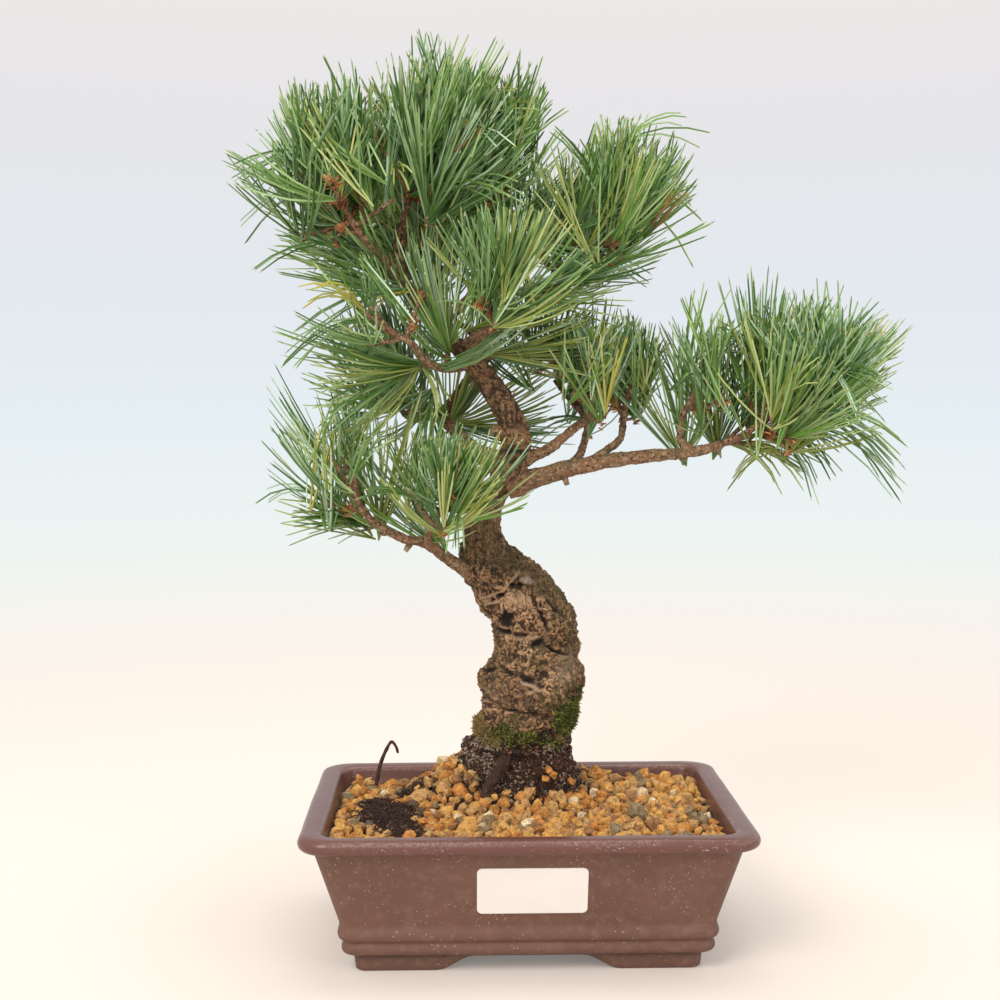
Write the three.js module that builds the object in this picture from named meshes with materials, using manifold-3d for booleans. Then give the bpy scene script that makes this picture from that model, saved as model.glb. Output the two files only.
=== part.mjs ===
// Japanese white pine bonsai, about 40 cm tall, in its shallow stoneware pot.
// Millimetres, +Z up. Places below are counted from the middle of the pot, with z = 0 on the
// table. The whole plant is then shifted so that the middle of its outline is the origin.
import * as THREE from 'three';
import { mergeVertices } from 'three/addons/utils/BufferGeometryUtils.js';
import Module from 'manifold-3d';

const wasm = await Module();
wasm.setup();

// Driving dimensions

const PLANT_SHIFT = new THREE.Vector3(-21.3, -9.5, 0);
const CLEARANCE = 0.3; // between any two neighbouring pieces

const RIM_LENGTH = 190;
const RIM_DEPTH = 140;
const POT_HEIGHT = 61;
const RIM_CORNER = 13;
const SMALLEST_CORNER = 4;
const CORNER_LOSS = 0.4; // corner radius lost for each millimetre further in
const CORNER_STEPS = 4;
const UNDERSIDE = 7.5;
const FLOOR_TOP = 14;
const FLOOR_INSET = 21.3;

// The pot's outside from its underside to the inner edge of its lip: [inset from the rim, z]
const POT_OUTSIDE = [
  [20.5, UNDERSIDE],
  [17.6, 8.6],
  [16.8, 11],
  [17.9, 13.7],
  [15.9, 14.9],
  [15.3, 17.6],
  [16.5, 20.6],
  [6.1, 54],
  [1.2, 55],
  [0, 57.6],
  [0.9, 60.1],
  [2.8, POT_HEIGHT],
  [7.6, POT_HEIGHT],
  [9.7, 59.8],
  [10.2, 57.6],
];

const FOOT_INSET = 22.7;
const FOOT_WIDTH = 13;
const FOOT_GAP_LENGTH = 78; // between two feet along the pot
const FOOT_GAP_DEPTH = 44;
const FOOT_GAP_RISE = 6;
const FOOT_GAP_EASE = 16; // length over which a gap rises from the table to its full height
const FOOT_SUNK = 2; // how far the feet run up into the floor
const FOOT_FLARE = 1; // how much wider the feet are there
const DRAIN_RADIUS = 6;
const DRAIN_SPACING = 76;

const SOIL_LEVEL = 56;
const SOIL_GRAIN = 2.2; // how far the grains on top stand above or below the bed
const SOIL_PLAY = 0.4; // between the bed and the pot's wall
const SOIL_SIDES = [9, 6]; // parts of the bed's long and short sides
const SOIL_RINGS = 7;
const SOIL_REACH = 0.85; // the innermost ring lies under the root mound
// Heaps of gravel against the root: [x, y, rise, spread in x, spread in y]
const SOIL_HEAPS = [
  [-26, 25, 19, 19, 19],
  [16, 34, 10, 30, 22],
  [0, 4, 5, 28, 15],
  [-66, 34, -4, 24, 26],
];

const MOUND = { x: -1, y: 26, foot: 44, top: 80.7, footRadius: 32, topRadius: 23.5, depthRatio: 0.84 };
const MOUND_FLARE = 0.8; // under 1, the mound's side is hollow
const MOUND_LUMPS = [0.05, 0.03]; // of its radius, for three broad lumps and five small ones
const MOUND_RINGS = 6;
const MOUND_SIDES = 18;

// Trunk from its flat cut on the root mound to its tip: [z, x, y, half width seen from the front]
const TRUNK = [
  [81, -1, 24, 23],
  [86, 0.5, 24, 21.6],
  [92, 2.2, 23.5, 22.2],
  [99, 4.3, 23, 21.3],
  [107, 4.2, 22.5, 23.2],
  [113, 4.2, 22, 23],
  [121, 5.8, 21.5, 19.4],
  [136, 5.6, 21, 19.2],
  [143, 2.4, 20.5, 21],
  [150, -1.6, 20, 19.6],
  [157, -6.4, 19, 18.8],
  [164, -11, 18, 15.8],
  [172, -17, 17, 10.4],
  [183, -18, 16, 7.9],
  [192, -15.8, 15, 7.6],
  [201, -8.4, 13, 7.6],
  [210, -5.6, 12, 8],
  [218, -3.4, 11, 6.6],
  [226, -4.4, 10, 6.6],
  [235, -8.8, 9, 6.7],
  [244, -14.4, 8, 6.5],
  [252, -20.6, 7, 6.4],
  [260, -28, 6, 5.6],
  [270, -38.6, 4, 5],
  [282, -48.6, 2, 4],
  [294, -55, 0, 3.1],
  [304, -54.2, -2, 2.7],
  [313, -52.8, -3, 2.3],
];
const TRUNK_SIDES = 18;
const ROOTSTOCK_RINGS = 20;
const UPPER_TRUNK_RINGS = 17;
const TRUNK_ROUND_ABOVE = 172; // the gnarled rootstock ends here and smooth bark begins
const TRUNK_BLEND = 20; // height over which the ribs die out
const TRUNK_LUMP = 0.08; // height of the ribs as a share of the trunk's half width
// Ribs that wind up the rootstock: [number round it, rise for a radian of turn, share of the height]
const TRUNK_RIBS = [
  [3, 9, 1],
  [5, -6, 0.7],
];
// Swellings and hollows on the rootstock's front: [x, z, half length, half width, turn in degrees, height]
const TRUNK_MARKS = [
  [-6, 105.6, 12, 8.5, 0, 2],
  [19, 118, 7.5, 8, 0, 1.4],
  [1, 114.6, 12, 3.2, -8, -2.4],
  [6.8, 129.6, 6, 3.6, 0, -3],
  [-9, 136, 6, 4.4, 0, -3],
  [7, 141.5, 8, 3, -60, -1.8],
  [2.2, 156.5, 8, 4.5, -32, 1],
  [3.4, 166.4, 6, 3.4, -34, 1.6],
];
const MARKS_FADE = [-0.1, 0.35]; // share of the depth, forward of the middle, over which they fade in

// Boughs: where each leaves its parent, the points it bends through, and its two radii
const BOUGHS = [
  {
    name: 'bough_low_left',
    parent: 'trunk',
    radii: [3.1, 1.4],
    path: [[-20, 16, 158], [-35, 8, 167.6], [-43.3, 0, 174.2], [-54.5, -6, 177.4], [-66.5, -12, 185.5]],
  },
  {
    name: 'bough_low_left_front',
    parent: 'bough_low_left',
    radii: [1.7, 1.3],
    path: [[-42.2, 1, 173.4], [-42, -8, 177.2], [-41, -16, 181.8]],
  },
  {
    name: 'bough_left',
    parent: 'trunk',
    radii: [4, 2.2],
    path: [[-9, 13, 208], [-23.8, 20, 216.3], [-31.9, 27, 224.3], [-39.3, 34, 230], [-50.5, 40, 229]],
  },
  {
    name: 'bough_left_rising',
    parent: 'bough_left',
    radii: [2.3, 1.7],
    path: [[-38, 32.8, 229.2], [-30.1, 40, 239.4], [-23.5, 46, 248.7], [-17.8, 51, 259]],
  },
  {
    name: 'bough_right',
    parent: 'trunk',
    radii: [4.6, 1.9],
    path: [[-7, 13, 199], [16.3, 10, 205.8], [33.9, 7, 209.9], [55.8, 4, 212.7], [77.6, 1, 215.4],
      [87, 0, 218]],
  },
  {
    name: 'bough_right_inner',
    parent: 'trunk',
    radii: [2.6, 1.8],
    path: [[-3.6, 12, 209], [11.8, 10, 216.1], [21.9, 6, 224.6], [28, 2, 228.6]],
  },
  {
    name: 'bough_right_inner_back',
    parent: 'bough_right',
    radii: [1.9, 1.5],
    path: [[21.5, 9.2, 207.2], [26.5, 17, 215], [29.5, 25, 223]],
  },
  {
    name: 'bough_right_middle',
    parent: 'bough_right',
    radii: [2, 1.5],
    path: [[29, 7.6, 208.8], [37.6, 10, 215.1], [43.4, 11, 220], [44.6, 12, 226.5]],
  },
  {
    name: 'bough_right_outer',
    parent: 'bough_right',
    radii: [1.7, 1.4],
    path: [[73.5, 1.4, 215], [69, 2.6, 220.4], [69.6, 3, 228.5]],
  },
  {
    name: 'bough_centre',
    parent: 'trunk',
    radii: [1.9, 1.5],
    path: [[-22, 7, 254.5], [-13.5, 12, 257.5], [-6.5, 16, 258.5]],
  },
  {
    name: 'bough_front',
    parent: 'trunk',
    radii: [2.4, 1.6],
    path: [[-23.4, 7, 256], [-18.6, -6, 262.4], [-13, -19, 269.4]],
  },
  {
    name: 'bough_left_front',
    parent: 'trunk',
    radii: [2.2, 1.5],
    path: [[-24, 7, 254.5], [-33.4, -4, 251.4], [-42, -14, 253.6], [-48.2, -22, 260.6]],
  },
  {
    name: 'bough_back',
    parent: 'trunk',
    radii: [2.6, 1.8],
    path: [[-33, 5, 265.5], [-35, 25, 276], [-38.5, 45, 289]],
  },
  {
    name: 'bough_upper_right',
    parent: 'trunk',
    radii: [3, 1.8],
    path: [[-26, 6, 259.5], [-7, 9, 273], [10.9, 10, 285.6], [21.5, 10, 297]],
  },
  {
    name: 'bough_upper_right_back',
    parent: 'bough_upper_right',
    radii: [1.9, 1.5],
    path: [[2.5, 9.6, 279.8], [8, 26, 286], [14, 42, 293.5]],
  },
  {
    name: 'bough_top_right',
    parent: 'trunk',
    radii: [2.3, 1.6],
    path: [[-38, 4, 270.5], [-24, 15, 283], [-14.5, 19, 298], [-11.5, 18, 311]],
  },
  {
    name: 'bough_top_left',
    parent: 'trunk',
    radii: [2.1, 1.6],
    path: [[-54, 0.4, 290.5], [-61, -8, 298.2], [-67, -16, 303.6]],
  },
];
const BOUGH_SIDES = 7;
const BOUGH_STEP = 8;

// Masses of needles: [name, limb, middle, reach, shoots]. Each keeps to its own space, an ellipsoid
// round its middle with its half sizes in reach, and grows from one stem on the tip of its limb.
const MASSES = [
  ['needles_top', 'trunk', [-36, -7, 346], [42, 42, 45], 8],
  ['needles_top_left', 'bough_top_left', [-84, -14, 334], [43, 42, 48], 8],
  ['needles_top_right', 'bough_top_right', [-9, 12, 341], [31, 38, 43], 6],
  ['needles_top_back', 'bough_back', [-48, 52, 328], [46, 36, 42], 6],
  ['needles_upper_right', 'bough_upper_right', [41, 4, 321], [43, 42, 44], 6],
  ['needles_upper_right_back', 'bough_upper_right_back', [22, 52, 314], [40, 33, 38], 4],
  ['needles_front', 'bough_front', [-8, -40, 291], [32, 31, 32], 4],
  ['needles_left_front', 'bough_left_front', [-66, -26, 270], [35, 33, 33], 4],
  ['needles_left_back', 'bough_left', [-63, 48, 255], [37, 33, 36], 4],
  ['needles_centre_back', 'bough_left_rising', [-10, 60, 279], [34, 29, 31], 3],
  ['needles_centre', 'bough_centre', [10, 17, 263], [30, 29, 22], 4],
  ['needles_low_left', 'bough_low_left', [-78, -15, 205], [34, 34, 37], 5],
  ['needles_low_left_front', 'bough_low_left_front', [-33.5, -23, 196], [32, 31, 27], 3],
  ['needles_right_inner', 'bough_right_inner', [27, -8, 250], [25, 28, 28], 4],
  ['needles_right_inner_back', 'bough_right_inner_back', [22, 46, 247], [29, 28, 28], 4],
  ['needles_right_middle', 'bough_right_middle', [49, 22, 250], [24, 28, 28], 4],
  ['needles_right_outer', 'bough_right_outer', [79, 3, 244], [30, 35, 35], 5],
  ['needles_right_end', 'bough_right', [123, 0, 244], [47, 42, 43], 8],
].map(([name, limb, middle, reach, shoots]) => ({ name, limb, middle, reach, shoots }));
const FIRST_SEED = 11;
const GOLDEN_TURN = Math.PI * (3 - Math.sqrt(5));
const SHORTEST_STEM = 11;
const STEM_RADIUS = 1.5;
const STEM_SIDES = 5;
const STEM_BEND = 1 / 3; // how far a stem runs on in its limb's own direction
const FIRST_FORK = 0.35; // how far up its stem a mass first forks
const FORK_SCATTER = 0.5; // of the step between two forks
const SHORTEST_TWIG = 6;
const TWIG_RADIUS = 1.1;
const TWIG_SIDES = 4;
const TWIG_STEPS = 3; // rings along a stem or a twig
const NEARLY_UPRIGHT = 0.9; // rise of an axis above which its turns are counted from X, not Z
const SHOOT_LEAN = [THREE.MathUtils.degToRad(100), THREE.MathUtils.degToRad(8)];
const SHOOT_LIFT = 0.35; // how strongly a shoot turns up to the light
const SHOOT_LENGTH = 14; // clad part of a shoot
const NEEDLE_LENGTH = 50;
const NEEDLE_SHARE = 0.9; // of a needle's length that lies between its shoot and the outline
const VANES = 4; // toothed blades round each shoot
const TEETH = 5;
const VANE_START = 0.3; // how far up its clad part a shoot bears the vanes
const FIRST_LEAN = THREE.MathUtils.degToRad(20);
const WIDER_LEAN = 1.4; // every other vane's first tooth leans more by this factor
const LAST_LEAN = THREE.MathUtils.degToRad(88);
const WEB = 0.6; // how far up a blade's teeth are joined, as a share of their length
const WEB_AT_EDGE = 0.7; // share of the web that the outermost teeth have
const SHORTEST_WEB = 0.25; // as a share of a full needle
const RIDGE_REACH = 0.27; // of a needle, from a blade's root to where it is thickest
const RIDGE_TRIM = 0.8; // that place moves in to this share until it sees the whole outline
const ROOT_DEPTH = 0.7; // how far past the shoot's axis a blade is sunk
const TOOTH_PLEAT = 1.6; // teeth stand this far off the blade's plane, to either side in turn
const BLADE_THICKNESS = 2.2;
const SHORTEST_NEEDLE = 0.4; // as a share of the full length
const NEEDLE_TRIM = 0.85; // a tooth that isn't free is shortened to this share, again and again
const TOOTH_TESTS = [1, 0.75, WEB]; // shares of a tooth's length at which it has to be free
const SHOOT_SPACING = 0.4; // teeth keep this far out of a neighbouring shoot's part
const SPACE_SLACK = 0.001; // tips that end on a space's outline count as inside
const SPACE_MARGIN = 0.05; // kept free on each side of the border between two masses
const LIMB_MARGIN = 1.6; // kept free between a needle's middle line and a limb's bark
const BEAD_SPACING = 2; // between the balls that stand for the limbs in that test

// Finishes

const FINISHES = {
  stoneware: { color: 0x6f5348, roughness: 0.62, metalness: 0 },
  gravel: { color: 0xb98a4e, roughness: 0.95, metalness: 0 },
  peat: { color: 0x33241c, roughness: 1, metalness: 0 },
  bark: { color: 0x7d6a52, roughness: 0.92, metalness: 0 },
  youngBark: { color: 0x6b4a33, roughness: 0.85, metalness: 0 },
  needles: { color: 0x4d7a3e, roughness: 0.55, metalness: 0 },
};

// Closed surfaces and joins

// Skins a row of rings, each with the same number of points and turning the same way round its
// line of travel. Both ends are closed with flat caps.
function skin(rings) {
  const positions = [];
  const face = (a, b, c) => positions.push(...a.toArray(), ...b.toArray(), ...c.toArray());
  const cap = (ring, forwards) => {
    if (ring.length < 3) return;
    const middle = ring.reduce((sum, point) => sum.add(point), new THREE.Vector3()).divideScalar(ring.length);
    ring.forEach((point, i) => {
      const next = ring[(i + 1) % ring.length];
      if (ring.length > 3) face(middle, forwards ? point : next, forwards ? next : point);
    });
    if (ring.length === 3) face(ring[0], ring[forwards ? 1 : 2], ring[forwards ? 2 : 1]);
  };
  cap(rings[0], false);
  for (let i = 0; i + 1 < rings.length; i += 1) {
    const [low, high] = [rings[i], rings[i + 1]];
    low.forEach((point, j) => {
      const k = (j + 1) % low.length;
      if (high.length === 1) {
        face(point, low[k], high[0]);
      } else {
        face(point, low[k], high[k]);
        face(point, high[k], high[j]);
      }
    });
  }
  cap(rings[rings.length - 1], true);
  return surfaceOf(positions);
}

function surfaceOf(positions) {
  const geometry = new THREE.BufferGeometry();
  geometry.setAttribute('position', new THREE.Float32BufferAttribute(positions, 3));
  return geometry;
}

function solidOf(geometry) {
  const bare = geometry.clone();
  bare.deleteAttribute('normal');
  bare.deleteAttribute('uv');
  const merged = mergeVertices(bare);
  return new wasm.Manifold(
    new wasm.Mesh({
      numProp: 3,
      vertProperties: new Float32Array(merged.attributes.position.array),
      triVerts: new Uint32Array(merged.index.array),
    }),
  );
}

// The largest closed surface of a solid. Loose scraps and sealed hollows fall away.
function geometryOf(solid) {
  const largest = solid.decompose().reduce((best, piece) => (piece.volume() > best.volume() ? piece : best));
  const mesh = largest.getMesh();
  const geometry = new THREE.BufferGeometry();
  geometry.setAttribute('position', new THREE.Float32BufferAttribute(mesh.vertProperties, 3));
  geometry.setIndex(new THREE.Uint32BufferAttribute(mesh.triVerts, 1));
  return geometry;
}

function meshOf(name, geometry, finish) {
  const loose = geometry.index ? geometry.toNonIndexed() : geometry;
  loose.computeVertexNormals();
  const mesh = new THREE.Mesh(loose, new THREE.MeshStandardMaterial(FINISHES[finish]));
  mesh.name = name;
  return mesh;
}

// Even random numbers from 0 to 1, the same on every run
function chance(seed) {
  let state = seed;
  return () => {
    state = (Math.imul(state, 1664525) + 1013904223) >>> 0;
    return state / 4294967296;
  };
}

const vector = (place) => new THREE.Vector3(...place);

// Pot, soil and root mound

// A rectangle with rounded corners, inset from the rim's outer edge, at one height. sideParts
// tells into how many parts its long and its short sides are cut.
function potRing(inset, z, sideParts = [1, 1]) {
  const radius = Math.max(SMALLEST_CORNER, RIM_CORNER - CORNER_LOSS * inset);
  const [alongX, alongY] = [RIM_LENGTH / 2 - inset - radius, RIM_DEPTH / 2 - inset - radius];
  const corners = [[1, 1], [-1, 1], [-1, -1], [1, -1]].map(([sideX, sideY], quarter) =>
    Array.from({ length: CORNER_STEPS + 1 }, (_, step) => {
      const angle = ((quarter + step / CORNER_STEPS) * Math.PI) / 2;
      const [x, y] = [sideX * alongX + radius * Math.cos(angle), sideY * alongY + radius * Math.sin(angle)];
      return new THREE.Vector3(x, y, z);
    }),
  );
  return corners.flatMap((corner, quarter) => {
    const [start, end] = [corner[CORNER_STEPS], corners[(quarter + 1) % corners.length][0]];
    const parts = sideParts[quarter % 2];
    const side = Array.from({ length: parts - 1 }, (_, i) => start.clone().lerp(end, (i + 1) / parts));
    return [...corner, ...side];
  });
}

function wallInset(z) {
  const [lipInset, lipZ] = POT_OUTSIDE[POT_OUTSIDE.length - 1];
  return THREE.MathUtils.mapLinear(z, lipZ, FLOOR_TOP, lipInset, FLOOR_INSET);
}

function archCutter(length, depth) {
  const [half, ease, top, below] = [length / 2, FOOT_GAP_EASE, FOOT_GAP_RISE, -FOOT_SUNK];
  const outline = new THREE.Shape();
  outline.moveTo(-half, below);
  outline.lineTo(half, below);
  outline.quadraticCurveTo(half - ease / 4, top, half - ease, top);
  outline.lineTo(ease - half, top);
  outline.quadraticCurveTo(ease / 4 - half, top, -half, below);
  const cutter = new THREE.ExtrudeGeometry(outline, { depth, bevelEnabled: false, curveSegments: 3 });
  cutter.translate(0, 0, -depth / 2);
  cutter.rotateX(Math.PI / 2);
  return cutter;
}

function pot() {
  const rings = POT_OUTSIDE.map(([inset, z]) => potRing(inset, z));
  rings.push(potRing(FLOOR_INSET, FLOOR_TOP));
  const shell = solidOf(skin(rings));
  const [outside, inside] = [FOOT_INSET, FOOT_INSET + FOOT_WIDTH];
  const plinth = solidOf(skin([potRing(outside, 0), potRing(outside - FOOT_FLARE, UNDERSIDE + FOOT_SUNK)]));
  const hollow = solidOf(skin([potRing(inside, -FOOT_SUNK), potRing(inside, UNDERSIDE)]));
  const frontGap = solidOf(archCutter(FOOT_GAP_LENGTH, RIM_DEPTH));
  const sideGap = solidOf(archCutter(FOOT_GAP_DEPTH, RIM_LENGTH).rotateZ(Math.PI / 2));
  let solid = shell.add(plinth.subtract(hollow).subtract(frontGap).subtract(sideGap));
  for (const side of [-1, 1]) {
    const drain = new THREE.CylinderGeometry(DRAIN_RADIUS, DRAIN_RADIUS, FLOOR_TOP * 2, 16);
    drain.rotateX(Math.PI / 2).translate((side * DRAIN_SPACING) / 2, 0, FLOOR_TOP);
    solid = solid.subtract(solidOf(drain));
  }
  return meshOf('pot', geometryOf(solid), 'stoneware');
}

// Height of the gravel: a level bed with broad heaps
function soilHeight(x, y) {
  return SOIL_HEAPS.reduce(
    (sum, [heapX, heapY, rise, spreadX, spreadY]) =>
      sum + rise * Math.exp(-(((x - heapX) / spreadX) ** 2) - ((y - heapY) / spreadY) ** 2),
    SOIL_LEVEL,
  );
}

function moundRing(share, extra) {
  const lift = share ** MOUND_FLARE;
  const radius = THREE.MathUtils.lerp(MOUND.footRadius, MOUND.topRadius, lift) + extra;
  return Array.from({ length: MOUND_SIDES }, (_, i) => {
    const angle = (i / MOUND_SIDES) * 2 * Math.PI;
    const [broad, small] = [Math.sin(3 * angle + 5 * share), Math.cos(5 * angle - 3 * share)];
    const lump = 1 + MOUND_LUMPS[0] * broad + MOUND_LUMPS[1] * small;
    return new THREE.Vector3(
      MOUND.x + radius * lump * Math.cos(angle),
      MOUND.y + radius * lump * MOUND.depthRatio * Math.sin(angle),
      THREE.MathUtils.lerp(MOUND.foot - extra, MOUND.top + extra, share),
    );
  });
}

function moundSolid(extra) {
  return solidOf(skin(Array.from({ length: MOUND_RINGS + 1 }, (_, i) => moundRing(i / MOUND_RINGS, extra))));
}

// Rings from the pot's wall to the root mound, on a random height for each grain that shows
function soil() {
  const random = chance(FIRST_SEED);
  const edge = potRing(wallInset(SOIL_LEVEL) + SOIL_PLAY, 0, SOIL_SIDES).map((point, i) => {
    const z = Math.min(SOIL_LEVEL + 1, soilHeight(point.x, point.y));
    return potRing(wallInset(z) + SOIL_PLAY, z, SOIL_SIDES)[i];
  });
  const rings = [potRing(FLOOR_INSET + SOIL_PLAY, FLOOR_TOP + SOIL_PLAY, SOIL_SIDES), edge];
  for (let i = 1; i <= SOIL_RINGS; i += 1) {
    const share = (i / SOIL_RINGS) * SOIL_REACH;
    rings.push(
      edge.map((point) => {
        const x = THREE.MathUtils.lerp(point.x, MOUND.x, share);
        const y = THREE.MathUtils.lerp(point.y, MOUND.y, share);
        return new THREE.Vector3(x, y, soilHeight(x, y) + SOIL_GRAIN * (2 * random() - 1));
      }),
    );
  }
  const bed = solidOf(skin(rings));
  return meshOf('soil', geometryOf(bed.subtract(moundSolid(CLEARANCE))), 'gravel');
}

// Trunk and boughs

// A smooth value between the rows of a table whose first column rises, by cubic steps
function smoothRow(table, column, at) {
  const last = table.length - 1;
  let i = table.findIndex((row) => row[0] > at) - 1;
  if (i < 0) i = at <= table[0][0] ? 0 : last - 1;
  const slope = (k) => {
    const [before, after] = [Math.max(0, k - 1), Math.min(last, k + 1)];
    return (table[after][column] - table[before][column]) / (table[after][0] - table[before][0]);
  };
  const gap = table[i + 1][0] - table[i][0];
  const s = THREE.MathUtils.clamp((at - table[i][0]) / gap, 0, 1);
  const [start, end] = [table[i][column], table[i + 1][column]];
  return (
    start * (1 + 2 * s) * (1 - s) ** 2 +
    end * s * s * (3 - 2 * s) +
    gap * slope(i) * s * (1 - s) ** 2 +
    gap * slope(i + 1) * s * s * (s - 1)
  );
}

const TRUNK_FOOT = TRUNK[0][0];
const TRUNK_TIP = TRUNK[TRUNK.length - 1][0];

function trunkAt(z) {
  const probe = 1;
  const lean = (smoothRow(TRUNK, 1, z + probe) - smoothRow(TRUNK, 1, z - probe)) / (2 * probe);
  const halfWidth = smoothRow(TRUNK, 3, z);
  return {
    middle: new THREE.Vector3(smoothRow(TRUNK, 1, z), smoothRow(TRUNK, 2, z), z),
    halfWidth,
    halfDepth: halfWidth / Math.hypot(1, lean),
  };
}

// Height of the marks at a place on the rootstock's front: a bell along and across each
function markHeight(x, z) {
  return TRUNK_MARKS.reduce((sum, [markX, markZ, length, width, turn, height]) => {
    const angle = THREE.MathUtils.degToRad(turn);
    const [right, up] = [x - markX, z - markZ];
    const along = (right * Math.cos(angle) + up * Math.sin(angle)) / length;
    const across = (up * Math.cos(angle) - right * Math.sin(angle)) / width;
    return sum + height * Math.exp(-(along ** 2) - across ** 2);
  }, 0);
}

function trunkRing(z, extra) {
  const { middle, halfWidth, halfDepth } = trunkAt(z);
  const gnarl = TRUNK_LUMP * THREE.MathUtils.clamp((TRUNK_ROUND_ABOVE - z) / TRUNK_BLEND, 0, 1);
  return Array.from({ length: TRUNK_SIDES }, (_, i) => {
    const angle = (i / TRUNK_SIDES) * 2 * Math.PI;
    const front = Math.abs(Math.sin(angle)); // the silhouette seen from the front stays true
    const ribs = TRUNK_RIBS.map(([count, rise, part]) => part * Math.sin(count * angle + z / rise));
    const lump = 1 + gnarl * front * (ribs[0] + ribs[1]);
    const shown = THREE.MathUtils.smoothstep(-Math.sin(angle), ...MARKS_FADE);
    const out = extra + shown * markHeight(middle.x + halfWidth * Math.cos(angle), z);
    return new THREE.Vector3(
      middle.x + (halfWidth * lump + out) * Math.cos(angle),
      middle.y + (halfDepth * lump + out) * Math.sin(angle),
      z,
    );
  });
}

function trunkSolid(extra) {
  const [foot, tip] = [TRUNK_FOOT - extra, TRUNK_TIP + extra];
  const rings = [];
  for (let i = 0; i <= ROOTSTOCK_RINGS; i += 1) {
    rings.push(trunkRing(THREE.MathUtils.lerp(foot, TRUNK_ROUND_ABOVE, i / ROOTSTOCK_RINGS), extra));
  }
  for (let i = 1; i <= UPPER_TRUNK_RINGS; i += 1) {
    rings.push(trunkRing(THREE.MathUtils.lerp(TRUNK_ROUND_ABOVE, tip, i / UPPER_TRUNK_RINGS), extra));
  }
  return solidOf(skin(rings));
}

// A round tube along a curve. Each ring stands square to the curve, and its first point is
// carried along without twist. radiusAt gives the radius from the share of the way along.
function tubeRings(curve, radiusAt, sides, steps) {
  const { tangents, normals, binormals } = curve.computeFrenetFrames(steps, false);
  return tangents.map((_, i) => {
    const share = i / steps;
    const centre = curve.getPointAt(share);
    return Array.from({ length: sides }, (__, j) => {
      const angle = (j / sides) * 2 * Math.PI;
      const radius = radiusAt(share);
      return centre
        .clone()
        .addScaledVector(normals[i], radius * Math.cos(angle))
        .addScaledVector(binormals[i], radius * Math.sin(angle));
    });
  });
}

function boughCurve(bough) {
  return new THREE.CatmullRomCurve3(bough.path.map(vector));
}

function boughSolid(bough, extra) {
  const curve = boughCurve(bough);
  const steps = Math.max(3, Math.round(curve.getLength() / BOUGH_STEP));
  const radiusAt = (share) => THREE.MathUtils.lerp(...bough.radii, share) + extra;
  return solidOf(skin(tubeRings(curve, radiusAt, BOUGH_SIDES, steps)));
}

function limbSolid(name, extra) {
  const limb = BOUGHS.find((bough) => bough.name === name);
  return limb ? boughSolid(limb, extra) : trunkSolid(extra);
}

function boughMesh(bough) {
  const solid = boughSolid(bough, 0).subtract(limbSolid(bough.parent, CLEARANCE));
  return meshOf(bough.name, geometryOf(solid), 'youngBark');
}

// Where a limb ends and which way it points there
function limbTip(name) {
  if (name === 'trunk') {
    return { place: trunkAt(TRUNK_TIP).middle, heading: new THREE.Vector3(0, 0, 1) };
  }
  const curve = boughCurve(BOUGHS.find((bough) => bough.name === name));
  return { place: curve.getPoint(1), heading: curve.getTangent(1) };
}

// Points inside every limb, each with the limb's radius there, for keeping needles off the bark
function limbBeads() {
  const beads = [];
  for (let z = TRUNK_FOOT; z <= TRUNK_TIP; z += BEAD_SPACING) {
    const { middle, halfWidth } = trunkAt(z);
    beads.push({ place: middle, radius: halfWidth });
  }
  for (const bough of BOUGHS) {
    const curve = boughCurve(bough);
    const steps = Math.ceil(curve.getLength() / BEAD_SPACING);
    for (let i = 0; i <= steps; i += 1) {
      const radius = THREE.MathUtils.lerp(...bough.radii, i / steps);
      beads.push({ place: curve.getPointAt(i / steps), radius });
    }
  }
  return beads;
}

const BEADS = limbBeads();
const touchesLimb = (point, margin) =>
  BEADS.some(({ place, radius }) => place.distanceToSquared(point) < (radius + margin) ** 2);

// Masses of needles

// 0 in the middle of a mass's space, 1 on its outline
const depthIn = (mass, point) =>
  point.clone().sub(vector(mass.middle)).divide(vector(mass.reach)).length();

function inOwnSpace(mass, point) {
  const own = depthIn(mass, point);
  if (own > 1 + SPACE_SLACK) return false;
  return MASSES.every((other) => other === mass || depthIn(other, point) - own > SPACE_MARGIN);
}

// How far a ray from inside the space runs before it meets the outline
function roomAlong(mass, start, heading) {
  const from = start.clone().sub(vector(mass.middle)).divide(vector(mass.reach));
  const step = heading.clone().divide(vector(mass.reach));
  const [a, b, c] = [step.lengthSq(), from.dot(step), from.lengthSq() - 1];
  const root = b * b - a * c;
  return root > 0 ? (-b + Math.sqrt(root)) / a : 0;
}

// A direction at a given lean from an axis and a given turn about it
function leaning(axis, lean, turn) {
  const upright = Math.abs(axis.z) > NEARLY_UPRIGHT;
  const side = new THREE.Vector3(upright ? 1 : 0, 0, upright ? 0 : 1).cross(axis).normalize();
  const across = axis.clone().cross(side);
  return axis
    .clone()
    .multiplyScalar(Math.cos(lean))
    .addScaledVector(side, Math.sin(lean) * Math.cos(turn))
    .addScaledVector(across, Math.sin(lean) * Math.sin(turn));
}

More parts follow.
